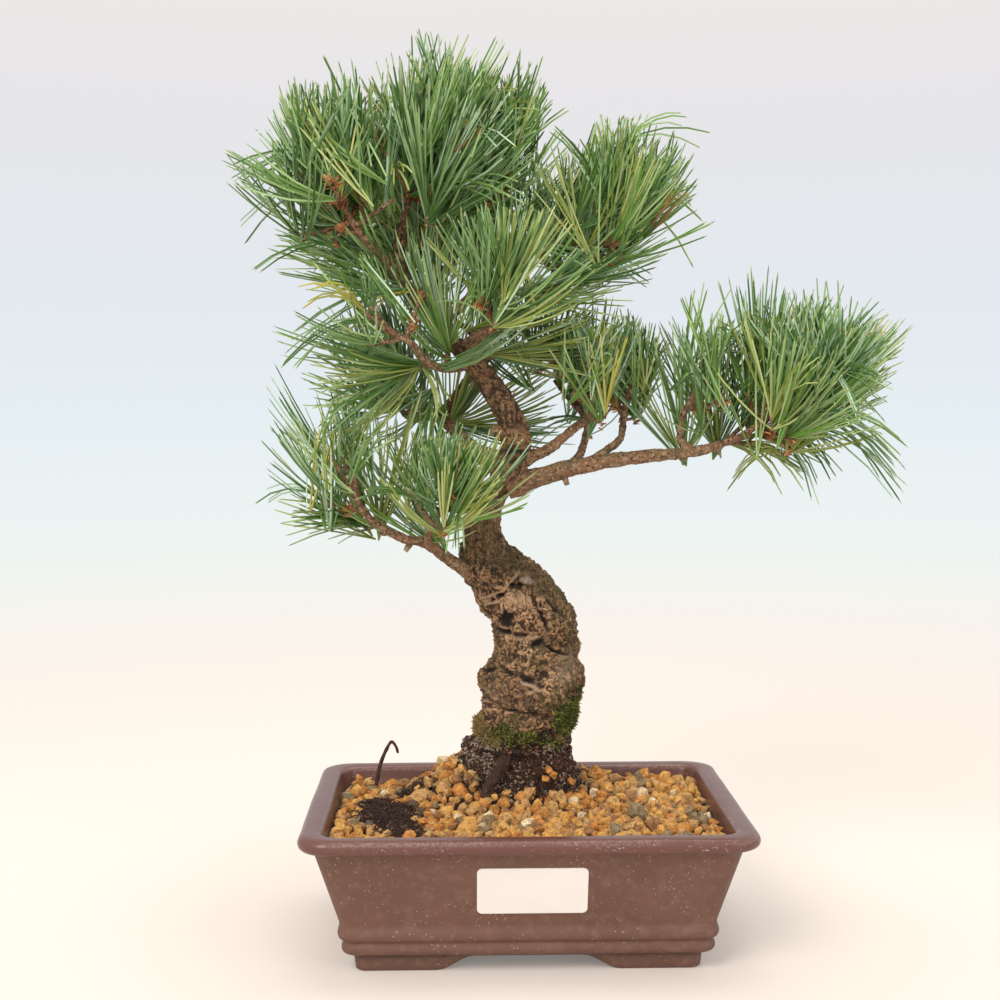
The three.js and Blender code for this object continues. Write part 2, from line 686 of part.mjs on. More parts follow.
// The seeded rule. A stem leaves the limb's tip and runs into the space. Twigs leave it one above
// the other, turned by the golden angle and leaning less and less, and the last one carries on.
// Each twig ends in a shoot that turns up to the light, as far below the outline as a needle is
// long.
function growth(mass, index) {
  const random = chance(FIRST_SEED + index);
  const tip = limbTip(mass.limb);
  const foot = tip.place.clone().addScaledVector(tip.heading, CLEARANCE);
  const axis = vector(mass.middle).sub(foot).normalize();
  const clad = NEEDLE_SHARE * NEEDLE_LENGTH;
  const stemLength = Math.max(SHORTEST_STEM, roomAlong(mass, foot, axis) - clad);
  const bend = foot.clone().addScaledVector(tip.heading, stemLength * STEM_BEND);
  const top = foot.clone().addScaledVector(axis, stemLength);
  const stem = new THREE.QuadraticBezierCurve3(foot, bend, top);
  const firstTurn = random() * 2 * Math.PI;
  const shoots = [];
  for (let i = 0; i < mass.shoots; i += 1) {
    const share = Math.min(1, (i + FORK_SCATTER * random()) / (mass.shoots - 1));
    const fork = stem.getPoint(THREE.MathUtils.lerp(FIRST_FORK, 1, share));
    const lean = THREE.MathUtils.lerp(...SHOOT_LEAN, share);
    const aim = leaning(axis, lean, firstTurn + i * GOLDEN_TURN);
    const stub = Math.max(SHORTEST_TWIG, roomAlong(mass, fork, aim) - clad);
    const base = fork.clone().addScaledVector(aim, stub);
    const heading = aim.clone().setZ(aim.z + SHOOT_LIFT).normalize();
    shoots.push({ fork, base, heading, turn: random() * Math.PI });
  }
  return { stem, shoots };
}

// Whether a point lies nearer to a shoot's own line than to its neighbours'
function nearestShoot(shoot, shoots, point) {
  const distance = ({ base, heading }) => {
    const end = base.clone().addScaledVector(heading, NEEDLE_LENGTH);
    return new THREE.Line3(base, end).closestPointToPoint(point, true, new THREE.Vector3()).distanceTo(point);
  };
  const own = distance(shoot) + SHOOT_SPACING;
  return shoots.every((other) => other === shoot || distance(other) > own);
}

// The longest tooth that keeps to its space and its shoot, clear of the limbs, or 0 for none
function toothLength(mass, shoot, shoots, root, heading) {
  const full = Math.min(NEEDLE_LENGTH, roomAlong(mass, root, heading));
  const isFree = (point) =>
    inOwnSpace(mass, point) && !touchesLimb(point, LIMB_MARGIN) && nearestShoot(shoot, shoots, point);
  for (let length = full; length > NEEDLE_LENGTH * SHORTEST_NEEDLE; length *= NEEDLE_TRIM) {
    const places = TOOTH_TESTS.map((share) => root.clone().addScaledVector(heading, length * share));
    if (places.every(isFree)) return length;
  }
  return 0;
}

// Whether every side of a flat outline can be seen from a place inside it
function seesAll(outline, place) {
  return outline.every((point, i) => {
    const next = outline[(i + 1) % outline.length];
    return point.clone().sub(place).cross(next.clone().sub(place)) > 0;
  });
}

// One toothed blade of a spray. It stands on the shoot's axis like a vane, and its teeth are
// needles that lean from the axis in even steps, joined by a web near their roots. The blade is
// thickest on a place inside it and thins out to its edge.
function vane(mass, shoot, shoots, side, firstLean) {
  const { heading } = shoot;
  const normal = heading.clone().cross(side);
  const root = shoot.base.clone().addScaledVector(heading, SHOOT_LENGTH * VANE_START);
  const step = (LAST_LEAN - firstLean) / (TEETH - 1);
  const leans = Array.from({ length: TEETH }, (_, i) => firstLean + i * step);
  const lengths = leans.map((lean) => {
    const aim = heading.clone().multiplyScalar(Math.cos(lean)).addScaledVector(side, Math.sin(lean));
    return toothLength(mass, shoot, shoots, root, aim);
  });
  if (lengths.filter((length) => length > 0).length < 2) return [];
  const polar = (lean, reach) => new THREE.Vector2(Math.cos(lean), Math.sin(lean)).multiplyScalar(reach);
  const valley = (lean, reach) => polar(lean, Math.max(reach, NEEDLE_LENGTH * SHORTEST_WEB));
  const middleLean = (firstLean + LAST_LEAN) / 2;
  const outline = [polar(middleLean, -ROOT_DEPTH)];
  outline.push(valley(firstLean - step / 3, WEB * WEB_AT_EDGE * lengths[0]));
  const pleats = new Map();
  leans.forEach((lean, i) => {
    const [length, next] = [lengths[i], lengths[i + 1] ?? lengths[i]];
    if (length > 0) {
      pleats.set(outline.length, i % 2 ? TOOTH_PLEAT : -TOOTH_PLEAT);
      outline.push(polar(lean, length));
    }
    if (i + 1 < TEETH) outline.push(valley(lean + step / 2, WEB * Math.min(length, next)));
  });
  outline.push(valley(LAST_LEAN + step / 3, WEB * WEB_AT_EDGE * lengths[TEETH - 1]));
  let reach = NEEDLE_LENGTH * RIDGE_REACH;
  while (!seesAll(outline, polar(middleLean, reach)) && reach > ROOT_DEPTH) reach *= RIDGE_TRIM;
  if (reach <= ROOT_DEPTH) return [];
  const lifted = (point, lift) =>
    root
      .clone()
      .addScaledVector(heading, point.x)
      .addScaledVector(side, point.y)
      .addScaledVector(normal, lift)
      .toArray();
  const edge = outline.map((point, i) => lifted(point, pleats.get(i) ?? 0));
  const ridge = polar(middleLean, reach);
  const [above, below] = [lifted(ridge, BLADE_THICKNESS / 2), lifted(ridge, -BLADE_THICKNESS / 2)];
  const positions = edge.flatMap((point, i) => {
    const next = edge[(i + 1) % edge.length];
    return [...point, ...next, ...above, ...next, ...point, ...below];
  });
  return [solidOf(surfaceOf(positions))];
}

function spray(mass, shoot, shoots) {
  const blades = [];
  for (let i = 0; i < VANES; i += 1) {
    const side = leaning(shoot.heading, Math.PI / 2, shoot.turn + (i * 2 * Math.PI) / VANES);
    const firstLean = FIRST_LEAN * (i % 2 ? 1 : WIDER_LEAN);
    blades.push(...vane(mass, shoot, shoots, side, firstLean));
  }
  return blades;
}

function massMesh(mass, index) {
  const { stem, shoots } = growth(mass, index);
  const solids = [solidOf(skin(tubeRings(stem, () => STEM_RADIUS, STEM_SIDES, TWIG_STEPS)))];
  for (const shoot of shoots) {
    const { fork, base, heading } = shoot;
    const tip = base.clone().addScaledVector(heading, SHOOT_LENGTH);
    const points = [base, base.clone().lerp(tip, 0.5), tip];
    if (points.some((point) => !inOwnSpace(mass, point) || touchesLimb(point, LIMB_MARGIN))) continue;
    const twig = new THREE.QuadraticBezierCurve3(fork, base, tip);
    solids.push(solidOf(skin(tubeRings(twig, () => TWIG_RADIUS, TWIG_SIDES, TWIG_STEPS))));
    solids.push(...spray(mass, shoot, shoots));
  }
  return meshOf(mass.name, geometryOf(wasm.Manifold.union(solids)), 'needles');
}

// The plant

const bonsai = new THREE.Group();
bonsai.position.copy(PLANT_SHIFT);
bonsai.add(pot());
bonsai.add(soil());
bonsai.add(meshOf('root_mound', geometryOf(moundSolid(0)), 'peat'));
bonsai.add(meshOf('trunk', geometryOf(trunkSolid(0)), 'bark'));
BOUGHS.forEach((bough) => bonsai.add(boughMesh(bough)));
MASSES.forEach((mass, index) => bonsai.add(massMesh(mass, index)));

export default bonsai;
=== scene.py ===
import itertools
import math

import bpy
import numpy as np
from mathutils import Matrix, Vector


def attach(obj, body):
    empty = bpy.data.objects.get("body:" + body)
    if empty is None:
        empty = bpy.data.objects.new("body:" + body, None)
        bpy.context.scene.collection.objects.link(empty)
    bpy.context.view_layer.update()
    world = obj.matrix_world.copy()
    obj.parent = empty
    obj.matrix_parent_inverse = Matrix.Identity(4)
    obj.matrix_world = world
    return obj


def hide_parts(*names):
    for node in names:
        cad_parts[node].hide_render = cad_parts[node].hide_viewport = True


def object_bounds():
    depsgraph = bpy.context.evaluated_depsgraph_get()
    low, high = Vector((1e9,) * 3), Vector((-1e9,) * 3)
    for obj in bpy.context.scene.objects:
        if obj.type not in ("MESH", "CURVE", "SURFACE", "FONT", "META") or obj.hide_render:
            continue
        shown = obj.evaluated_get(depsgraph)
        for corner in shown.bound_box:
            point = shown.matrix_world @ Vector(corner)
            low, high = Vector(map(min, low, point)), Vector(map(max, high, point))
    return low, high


bl_info = {
    "name": "Japanese white pine bonsai",
    "version": (1, 0, 0),
    "blender": (4, 5, 0),
    "location": "View3D > Sidebar > Bonsai",
    "description": "Bark, needles, gravel, moss and fired clay for a potted pine",
    "category": "Object",
}

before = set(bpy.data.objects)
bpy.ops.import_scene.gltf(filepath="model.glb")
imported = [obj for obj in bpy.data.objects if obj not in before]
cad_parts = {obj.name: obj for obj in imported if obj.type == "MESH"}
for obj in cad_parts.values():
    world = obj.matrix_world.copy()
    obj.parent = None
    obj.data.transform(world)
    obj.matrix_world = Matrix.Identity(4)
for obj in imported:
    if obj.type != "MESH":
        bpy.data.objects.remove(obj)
CAD_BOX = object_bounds()

# Sizes are in millimetres, counted from the middle of the pot on the table, as in the solids.

MM = 0.001
PLANT_SHIFT = np.array([-21.3, -9.5, 0.0])
CLEARANCE = 0.3
FULL_TURN = 2 * math.pi
GOLDEN_TURN = math.pi * (3 - math.sqrt(5))

# Camera: the photograph's own place, aim and lens
CAMERA_PLACE = np.array([-29.1, -673.8, 235.7])
CAMERA_YAW = math.radians(1.56)
CAMERA_PITCH = math.radians(3.58)
CAMERA_LENS = 55.26
SENSOR_WIDTH = 36.0
FLOOR_GLOW = 0.18
TENT_AROUND = 96

# Pot
RIM_LENGTH = 190
RIM_DEPTH = 140
RIM_CORNER = 13
SMALLEST_CORNER = 4
CORNER_LOSS = 0.4
UNDERSIDE = 7.5
FLOOR_TOP = 14
FLOOR_INSET = 21.3
POT_OUTSIDE = [
    (20.5, UNDERSIDE),
    (17.6, 8.6),
    (16.8, 11),
    (17.9, 13.7),
    (15.9, 14.9),
    (15.3, 17.6),
    (16.5, 20.6),
    (6.1, 54),
    (1.2, 55),
    (0, 57.6),
    (0.9, 60.1),
    (2.8, 61),
    (7.6, 61),
    (9.7, 59.8),
    (10.2, 57.6),
]
FOOT_INSET = 22.7
FOOT_WIDTH = 13
FOOT_GAP_LENGTH = 78
FOOT_GAP_DEPTH = 44
FOOT_GAP_RISE = 6
FOOT_GAP_EASE = 16
FOOT_SUNK = 2
FOOT_FLARE = 1
FOOT_EDGE = 0.8
DRAIN_RADIUS = 6
DRAIN_SPACING = 76
LABEL_MIDDLE = (0.95, 37.4)  # along the wall and up
LABEL_SIZE = (45.4, 21.6)
LABEL_CORNER = 2.2
LABEL_STEPS = 8

# Gravel bed and root mound
SOIL_LEVEL = 56
SOIL_PLAY = 0.4
SOIL_HEAPS = [(-26, 25, 19, 19, 19), (16, 34, 10, 30, 22), (0, 4, 5, 28, 15), (-66, 34, -4, 24, 26)]
MOUND = {
    "x": -1, "y": 26, "foot": 44, "top": 80.7, "foot_radius": 32, "top_radius": 23.5, "depth_ratio": 0.84
}
MOUND_FLARE = 0.8
MOUND_LUMPS = (0.05, 0.03)
# Bare peat: x, y, turn, half length and half width of each patch, and the corners of the area they lie in
PEAT_PATCHES = [(-60, -10, -1.30, 40, 13.5), (-51, 27, 0.2, 10, 6.5)]
PEAT_AREA = ([-80, -50], [-38, 36])
# How deep the bed lies under the grains, and how far it rises from there in a patch
BED_DEPTH = 2.6
PEAT_RISE = 3.9
# Layers of grains from below: their pitch in widths of a grain, and how far they lie under the soil's level
GRAVEL_LAYERS = [(0.93, 3.0), (0.98, 1.1), (1.35, -0.9)]
TOP_LAYER_SHARE = 0.45
# Grains that lie on the root mound: x, y, z
LOST_GRAINS = [(9.5, 2.2, 68.5), (13.0, 2.6, 70.0), (11.2, 3.2, 72.5), (3.6, -0.8, 63.5), (21.5, 4.5, 66.5)]
# How many crumbs are thrown on the mound, on the bare peat, round the mound's foot, round the trunk's foot
# and on the mound's top
CRUMBS = {"mound": 15000, "peat": 9000, "around": 900, "trunk": 1800, "top": 2400}
SIDE_ROOTS = 90
BARE_ROOTS = 1100
# The bent root beside the heap and the root stub on the mound's front: the points that each bends through
LOOP_ROOT = [
    (-67.0, 22, 61), (-65.2, 24, 70), (-62.6, 25, 76.5), (-59.9, 25, 80.6), (-57.9, 24.5, 78.4),
    (-57.0, 24, 75.6),
]
STUB = [(-7.6, 5.6, 78.5), (-9.5, 3.6, 74.5), (-12.6, 1.9, 70), (-15.6, 0.2, 65.6), (-17.6, -0.6, 61)]

# Trunk: z, x, y, half width seen from the front
TRUNK = np.array([
    (81, -1, 24, 23), (86, 0.5, 24, 21.6), (92, 2.2, 23.5, 22.2), (99, 4.3, 23, 21.3),
    (107, 4.2, 22.5, 23.2), (113, 4.2, 22, 23), (121, 5.8, 21.5, 19.4), (136, 5.6, 21, 19.2),
    (143, 2.4, 20.5, 21), (150, -1.6, 20, 19.6), (157, -6.4, 19, 18.8), (164, -11, 18, 15.8),
    (172, -17, 17, 10.4), (183, -18, 16, 7.9), (192, -15.8, 15, 7.6), (201, -8.4, 13, 7.6),
    (210, -5.6, 12, 8), (218, -3.4, 11, 6.6), (226, -4.4, 10, 6.6), (235, -8.8, 9, 6.7),
    (244, -14.4, 8, 6.5), (252, -20.6, 7, 6.4), (260, -28, 6, 5.6), (270, -38.6, 4, 5),
    (282, -48.6, 2, 4), (294, -55, 0, 3.1), (304, -54.2, -2, 2.7), (313, -52.8, -3, 2.3),
], float)
TRUNK_TIP = TRUNK[-1, 0]
TRUNK_ROUND_ABOVE = 172
TRUNK_BLEND = 20
TRUNK_LUMP = 0.08
TRUNK_RIBS = [(3, 9, 1), (5, -6, 0.7)]
TRUNK_AROUND = 270
# Pitch of the rings: low on the trunk from a place inside the mound, and above the rootstock up to the tip
BARK_RINGS = [(78.5, 174, 0.42), (174, TRUNK_TIP, 1.2)]
BOUGH_AROUND = 30
BOUGH_RING_PITCH = 0.75

# Boughs: name, parent, first and last radius, the points each bends through
BOUGHS = [
    ("bough_low_left", "trunk", (3.1, 1.4),
     [(-20, 16, 158), (-35, 8, 167.6), (-43.3, 0, 174.2), (-54.5, -6, 177.4), (-66.5, -12, 185.5)]),
    ("bough_low_left_front", "bough_low_left", (1.7, 1.3),
     [(-42.2, 1, 173.4), (-42, -8, 177.2), (-41, -16, 181.8)]),
    ("bough_left", "trunk", (4, 2.2),
     [(-9, 13, 208), (-23.8, 20, 216.3), (-31.9, 27, 224.3), (-39.3, 34, 230), (-50.5, 40, 229)]),
    ("bough_left_rising", "bough_left", (2.3, 1.7),
     [(-38, 32.8, 229.2), (-30.1, 40, 239.4), (-23.5, 46, 248.7), (-17.8, 51, 259)]),
    ("bough_right", "trunk", (4.6, 1.9),
     [(-7, 13, 199), (16.3, 10, 205.8), (33.9, 7, 209.9), (55.8, 4, 212.7), (77.6, 1, 215.4), (87, 0, 218)]),
    ("bough_right_inner", "trunk", (2.6, 1.8),
     [(-3.6, 12, 209), (11.8, 10, 216.1), (21.9, 6, 224.6), (28, 2, 228.6)]),
    ("bough_right_inner_back", "bough_right", (1.9, 1.5),
     [(21.5, 9.2, 207.2), (26.5, 17, 215), (29.5, 25, 223)]),
    ("bough_right_middle", "bough_right", (2, 1.5),
     [(29, 7.6, 208.8), (37.6, 10, 215.1), (43.4, 11, 220), (44.6, 12, 226.5)]),
    ("bough_right_outer", "bough_right", (1.7, 1.4), [(73.5, 1.4, 215), (69, 2.6, 220.4), (69.6, 3, 228.5)]),
    ("bough_centre", "trunk", (1.9, 1.5), [(-22, 7, 254.5), (-13.5, 12, 257.5), (-6.5, 16, 258.5)]),
    ("bough_front", "trunk", (2.4, 1.6), [(-23.4, 7, 256), (-18.6, -6, 262.4), (-13, -19, 269.4)]),
    ("bough_left_front", "trunk", (2.2, 1.5),
     [(-24, 7, 254.5), (-33.4, -4, 251.4), (-42, -14, 253.6), (-48.2, -22, 260.6)]),
    ("bough_back", "trunk", (2.6, 1.8), [(-33, 5, 265.5), (-35, 25, 276), (-38.5, 45, 289)]),
    ("bough_upper_right", "trunk", (3, 1.8),
     [(-26, 6, 259.5), (-7, 9, 273), (10.9, 10, 285.6), (21.5, 10, 297)]),
    ("bough_upper_right_back", "bough_upper_right", (1.9, 1.5),
     [(2.5, 9.6, 279.8), (8, 26, 286), (14, 42, 293.5)]),
    ("bough_top_right", "trunk", (2.3, 1.6),
     [(-38, 4, 270.5), (-24, 15, 283), (-14.5, 19, 298), (-11.5, 18, 311)]),
    ("bough_top_left", "trunk", (2.1, 1.6), [(-54, 0.4, 290.5), (-61, -8, 298.2), (-67, -16, 303.6)]),
]
# Snags left by lost twigs: start, end, first and last radius
SNAGS = [
    ((-50, -2.5, 175), (-52.3, -4, 171.5), 1.5, 1.0),
    ((17.5, 9.8, 204), (19.5, 8.5, 199.6), 1.6, 1.1),
    ((-9.5, 9, 222), (-13.6, 5, 224.5), 3.0, 1.7),
    ((-27, 22, 218.5), (-30.5, 15, 222.5), 1.6, 0.9),
]

# Masses of needles: name, limb, middle, reach, shoots
MASSES = [
    ("needles_top", "trunk", (-36, -7, 346), (42, 42, 45), 8),
    ("needles_top_left", "bough_top_left", (-84, -14, 334), (43, 42, 48), 8),
    ("needles_top_right", "bough_top_right", (-9, 12, 341), (31, 38, 43), 6),
    ("needles_top_back", "bough_back", (-48, 52, 328), (46, 36, 42), 6),
    ("needles_upper_right", "bough_upper_right", (41, 4, 321), (43, 42, 44), 6),
    ("needles_upper_right_back", "bough_upper_right_back", (22, 52, 314), (40, 33, 38), 4),
    ("needles_front", "bough_front", (-8, -40, 291), (32, 31, 32), 4),
    ("needles_left_front", "bough_left_front", (-66, -26, 270), (35, 33, 33), 4),
    ("needles_left_back", "bough_left", (-63, 48, 255), (37, 33, 36), 4),
    ("needles_centre_back", "bough_left_rising", (-10, 60, 279), (34, 29, 31), 3),
    ("needles_centre", "bough_centre", (10, 17, 263), (30, 29, 22), 4),
    ("needles_low_left", "bough_low_left", (-78, -15, 205), (34, 34, 37), 5),
    ("needles_low_left_front", "bough_low_left_front", (-33.5, -23, 196), (32, 31, 27), 3),
    ("needles_right_inner", "bough_right_inner", (27, -8, 250), (25, 28, 28), 4),
    ("needles_right_inner_back", "bough_right_inner_back", (22, 46, 247), (29, 28, 28), 4),
    ("needles_right_middle", "bough_right_middle", (49, 22, 250), (24, 28, 28), 4),
    ("needles_right_outer", "bough_right_outer", (79, 3, 244), (30, 35, 35), 5),
    ("needles_right_end", "bough_right", (123, 0, 244), (47, 42, 43), 8),
]
MASS_MIDDLES = np.array([mass[2] for mass in MASSES], float)
MASS_REACHES = np.array([mass[3] for mass in MASSES], float)
FIRST_SEED = 11
SHORTEST_STEM = 11
STEM_RADIUS = 1.5
STEM_BEND = 1 / 3
FIRST_FORK = 0.35
FORK_SCATTER = 0.5
SHORTEST_TWIG = 6
TWIG_RADIUS = 1.1
NEARLY_UPRIGHT = 0.9
SHOOT_LEAN = (math.radians(100), math.radians(8))
SHOOT_LIFT = 0.35
SHOOT_LENGTH = 14
NEEDLE_LENGTH = 50
NEEDLE_SHARE = 0.9
LIMB_MARGIN = 1.6
SPACE_MARGIN = 0.05
SPACE_SLACK = 0.001


# Numbers, noise and small vector work


def unit(vectors):
    """Vectors divided by their own length."""
    return vectors / np.maximum(np.linalg.norm(vectors, axis=-1, keepdims=True), 1e-12)


def ease(value, low, high):
    """0 below low, 1 above high, and s * s * (3 - 2 s) between them."""
    share = np.clip((value - low) / (high - low), 0, 1)
    return share * share * (3 - 2 * share)


def chance(seed):
    """Even numbers from 0 to 1: state = state * 1664525 + 1013904223, kept to 32 bits."""
    state = seed
    while True:
        state = (state * 1664525 + 1013904223) & 0xFFFFFFFF
        yield state / 4294967296


def scrambled(cells, seed):
    """A repeatable number from 0 to 1 for each whole-numbered place, by multiplying and xoring its bits."""
    x, y, z = (cells[..., k].astype(np.int64).astype(np.uint32) for k in range(3))
    mixed = x * np.uint32(0x27D4EB2D) ^ y * np.uint32(0x165667B1) ^ z * np.uint32(0x9E3779B1)
    mixed = mixed + np.uint32(seed * 0x85EBCA6B & 0xFFFFFFFF)
    for shift, factor in ((15, 0x2C1B3C6D), (12, 0x297A2D39)):
        mixed = (mixed ^ (mixed >> np.uint32(shift))) * np.uint32(factor)
    return (mixed ^ (mixed >> np.uint32(15))) / 4294967296


def noise(points, seed=0):
    """Value noise from -1 to 1: random heights on a unit lattice, blended by s * s * (3 - 2 s)."""
    cell = np.floor(points).astype(np.int64)
    share = points - cell
    share = share * share * (3 - 2 * share)
    total = np.zeros(points.shape[:-1])
    for corner in itertools.product((0, 1), repeat=3):
        weight = np.prod(np.where(corner, share, 1 - share), axis=-1)
        total += weight * scrambled(cell + np.array(corner), seed)
    return 2 * total - 1


def layered(points, seed=0, octaves=4):
    """Noise at 1, 2, 4, ... times the pitch, each layer half as strong as the one before."""
    total = sum(noise(points * 2**k, seed + k) / 2**k for k in range(octaves))
    return total / (2 - 2 ** (1 - octaves))


def cells(points, seed=0):
    """Distances to the nearest and the second nearest of one random point in each unit cell."""
    base = np.floor(points).astype(np.int64)
    first = np.full(points.shape[:-1], 9.0)
    second = first.copy()
    for offset in itertools.product((-1, 0, 1), repeat=3):
        cell = base + np.array(offset)
        site = cell + np.stack([scrambled(cell, seed + k) for k in (0, 101, 202)], -1)
        gap = np.linalg.norm(site - points, axis=-1)
        second = np.where(gap < first, first, np.minimum(second, gap))
        first = np.minimum(first, gap)
    return first, second


def turns_of(random, count):
    """Random turns as 3 x 3 matrices, from four even bell-shaped numbers made a unit quaternion."""
    w, x, y, z = unit(random.normal(size=(count, 4))).T
    rows = [
        [1 - 2 * (y * y + z * z), 2 * (x * y - w * z), 2 * (x * z + w * y)],
        [2 * (x * y + w * z), 1 - 2 * (x * x + z * z), 2 * (y * z - w * x)],
        [2 * (x * z - w * y), 2 * (y * z + w * x), 1 - 2 * (x * x + y * y)],
    ]
    return np.array(rows).transpose(2, 0, 1)


def quadratic(a, b, c, share):
    """A curve from a to c, bent towards b: (1 - s)^2 a + 2 s (1 - s) b + s^2 c."""
    return (1 - share) ** 2 * a + 2 * share * (1 - share) * b + share**2 * c


# Surfaces as whole arrays


def quads_between(low, high, around):
    """Quads between rings of so many points, each ring given by the number of its first point."""
    here = np.arange(around)
    after = (here + 1) % around
    return np.stack([low + here, low + after, high + after, high + here], -1).reshape(-1, 4)


def skin(count, around):
    """Faces over rings that follow one another, closed by fans to the two points that come after them."""
    low = (np.arange(count - 1) * around)[:, None]
    here = np.arange(around)
    after = (here + 1) % around
    last, first_middle = (count - 1) * around, np.full(around, count * around)
    first_fan = np.stack([first_middle, after, here], -1)
    last_fan = np.stack([first_middle + 1, last + here, last + after], -1)
    return [quads_between(low, low + around, around), np.concatenate([first_fan, last_fan])]


def wrapped(rows):
    """Points and faces of rings that lie one above the other, closed by fans to the end rings' middles."""
    return np.concatenate([rows.reshape(-1, 3), rows[:1].mean(1), rows[-1:].mean(1)]), skin(*rows.shape[:2])


def sweep(centres, across, upward, outline, ends):
    """A profile carried along many paths at once: point = centre + across * x + upward * y.

    centres, across and upward have the shape (paths, rings, 3), outline (paths, rings, points, 2),
    and ends (paths, 2, 3) holds the two places where a path's skin is drawn together."""
    centres, across, upward = (part[:, :, None] for part in (centres, across, upward))
    rings = centres + across * outline[..., :1] + upward * outline[..., 1:]
    points = np.concatenate([rings.reshape(len(rings), -1, 3), ends], 1)
    start = (np.arange(len(rings)) * points.shape[1])[:, None, None]
    faces = [(start + part).reshape(-1, part.shape[-1]) for part in skin(*rings.shape[1:3])]
    return points.reshape(-1, 3), faces


def round_angles(count):
    """So many even angles from 0 on round a circle."""
    return np.arange(count) / count * FULL_TURN


def on_circle(angle):
    """Cosine and sine of each angle."""
    return np.stack([np.cos(angle), np.sin(angle)], -1)


def beside(axis):
    """Two directions square to a direction and to each other."""
    fixed = np.array([1.0, 0, 0] if abs(axis[2]) > NEARLY_UPRIGHT else [0, 0, 1.0])
    side = unit(np.cross(fixed, axis))
    return side, np.cross(axis, side)


def tubes(centres, radii, around):
    """Round tubes along paths: a circle of the given radius, square to the path, held by a fixed side."""
    steps = unit(np.gradient(centres, axis=1))
    mean = np.abs(unit(centres[:, -1] - centres[:, 0]))
    fixed = np.eye(3)[np.argmin(mean, axis=-1)][:, None]
    upward = unit(np.cross(steps, np.broadcast_to(fixed, steps.shape)))
    across = np.cross(upward, steps)
    outline = np.broadcast_to(radii, centres.shape[:2])[:, :, None, None] * on_circle(round_angles(around))
    return sweep(centres, across, upward, outline, centres[:, [0, -1]])


def rough_tube(path, radius, around, heights):
    """One tube, whose points are then raised by the heights that a function gives for their places."""
    points, faces = tubes(path[None], radius[None], around)
    ring = points[:-2].reshape(len(path), around, 3)
    moved, _ = raised(ring, heights(ring))
    return np.concatenate([moved.reshape(-1, 3), points[-2:]]), faces


def joined(parts):
    """Several (points, faces) as one, with each part's corner numbers moved on."""
    points, start, groups = [], 0, {}
    for part_points, faces in parts:
        points.append(part_points)
        for face in faces:
            groups.setdefault(face.shape[1], []).append(face + start)
        start += len(part_points)
    return np.concatenate(points), [np.concatenate(group) for group in groups.values()]


def raised(rows, heights):
    """Points of a ring surface moved along their normals, the cross product of the steps round and along."""
    around = np.roll(rows, -1, 1) - np.roll(rows, 1, 1)
    normals = unit(np.cross(around, np.gradient(rows, axis=0)))
    return rows + normals * heights[..., None], normals


def icosahedron():
    """Corners and faces of an icosahedron with unit radius: faces join corners that lie nearest."""
    long = (1 + math.sqrt(5)) / 2
    corners = [(0, a, b * long) for a in (-1, 1) for b in (-1, 1)]
    points = [(p[k], p[(k + 1) % 3], p[(k + 2) % 3]) for k in range(3) for p in corners]
    points = unit(np.array(points, float))
    near = np.linalg.norm(points[:, None] - points[None], axis=-1) < 1.1
    faces = np.array([f for f in itertools.combinations(range(12), 3) if near[np.ix_(f, f)].all()])
    a, b, c = (points[faces[:, k]] for k in range(3))
    inward = np.einsum("ij,ij->i", np.cross(b - a, c - a), a) < 0
    faces[inward] = faces[inward][:, ::-1]
    return points, faces


def octahedron():
    """Corners and faces of a regular octahedron."""
    corners = np.concatenate([np.eye(3), -np.eye(3)])
    ring = ((0, 1), (1, 3), (3, 4), (4, 0))
    return corners, np.array([face for a, b in ring for face in ((a, b, 2), (b, a, 5))])


def show(name, points, faces, finishes, finish_of=None, smooth=True, values=None):
    """A mesh object from whole arrays in the pot's millimetres, moved to the solids' frame in metres."""
    mesh = bpy.data.meshes.new(name)
    corners = np.concatenate([part.ravel() for part in faces]).astype(np.int32)
    sizes = np.concatenate([np.full(len(part), part.shape[1]) for part in faces])
    starts = np.concatenate([[0], np.cumsum(sizes)[:-1]]).astype(np.int32)
    mesh.vertices.add(len(points))
    mesh.vertices.foreach_set("co", ((points + PLANT_SHIFT) * MM).astype(np.float32).ravel())
    mesh.loops.add(len(corners))
    mesh.loops.foreach_set("vertex_index", corners)
    mesh.polygons.add(len(sizes))
    mesh.polygons.foreach_set("loop_start", starts)
    for finish in finishes:
        mesh.materials.append(finish)
    if finish_of is not None:
        mesh.polygons.foreach_set("material_index", finish_of.astype(np.int32))
    mesh.polygons.foreach_set("use_smooth", np.full(len(sizes), smooth))
    for value_name, column in (values or {}).items():
        attribute = mesh.attributes.new(value_name, "FLOAT", "POINT")
        attribute.data.foreach_set("value", column.astype(np.float32).ravel())
    mesh.update(calc_edges=True)
    piece = bpy.data.objects.new(name, mesh)
    bpy.context.scene.collection.objects.link(piece)
    return piece


# Finishes


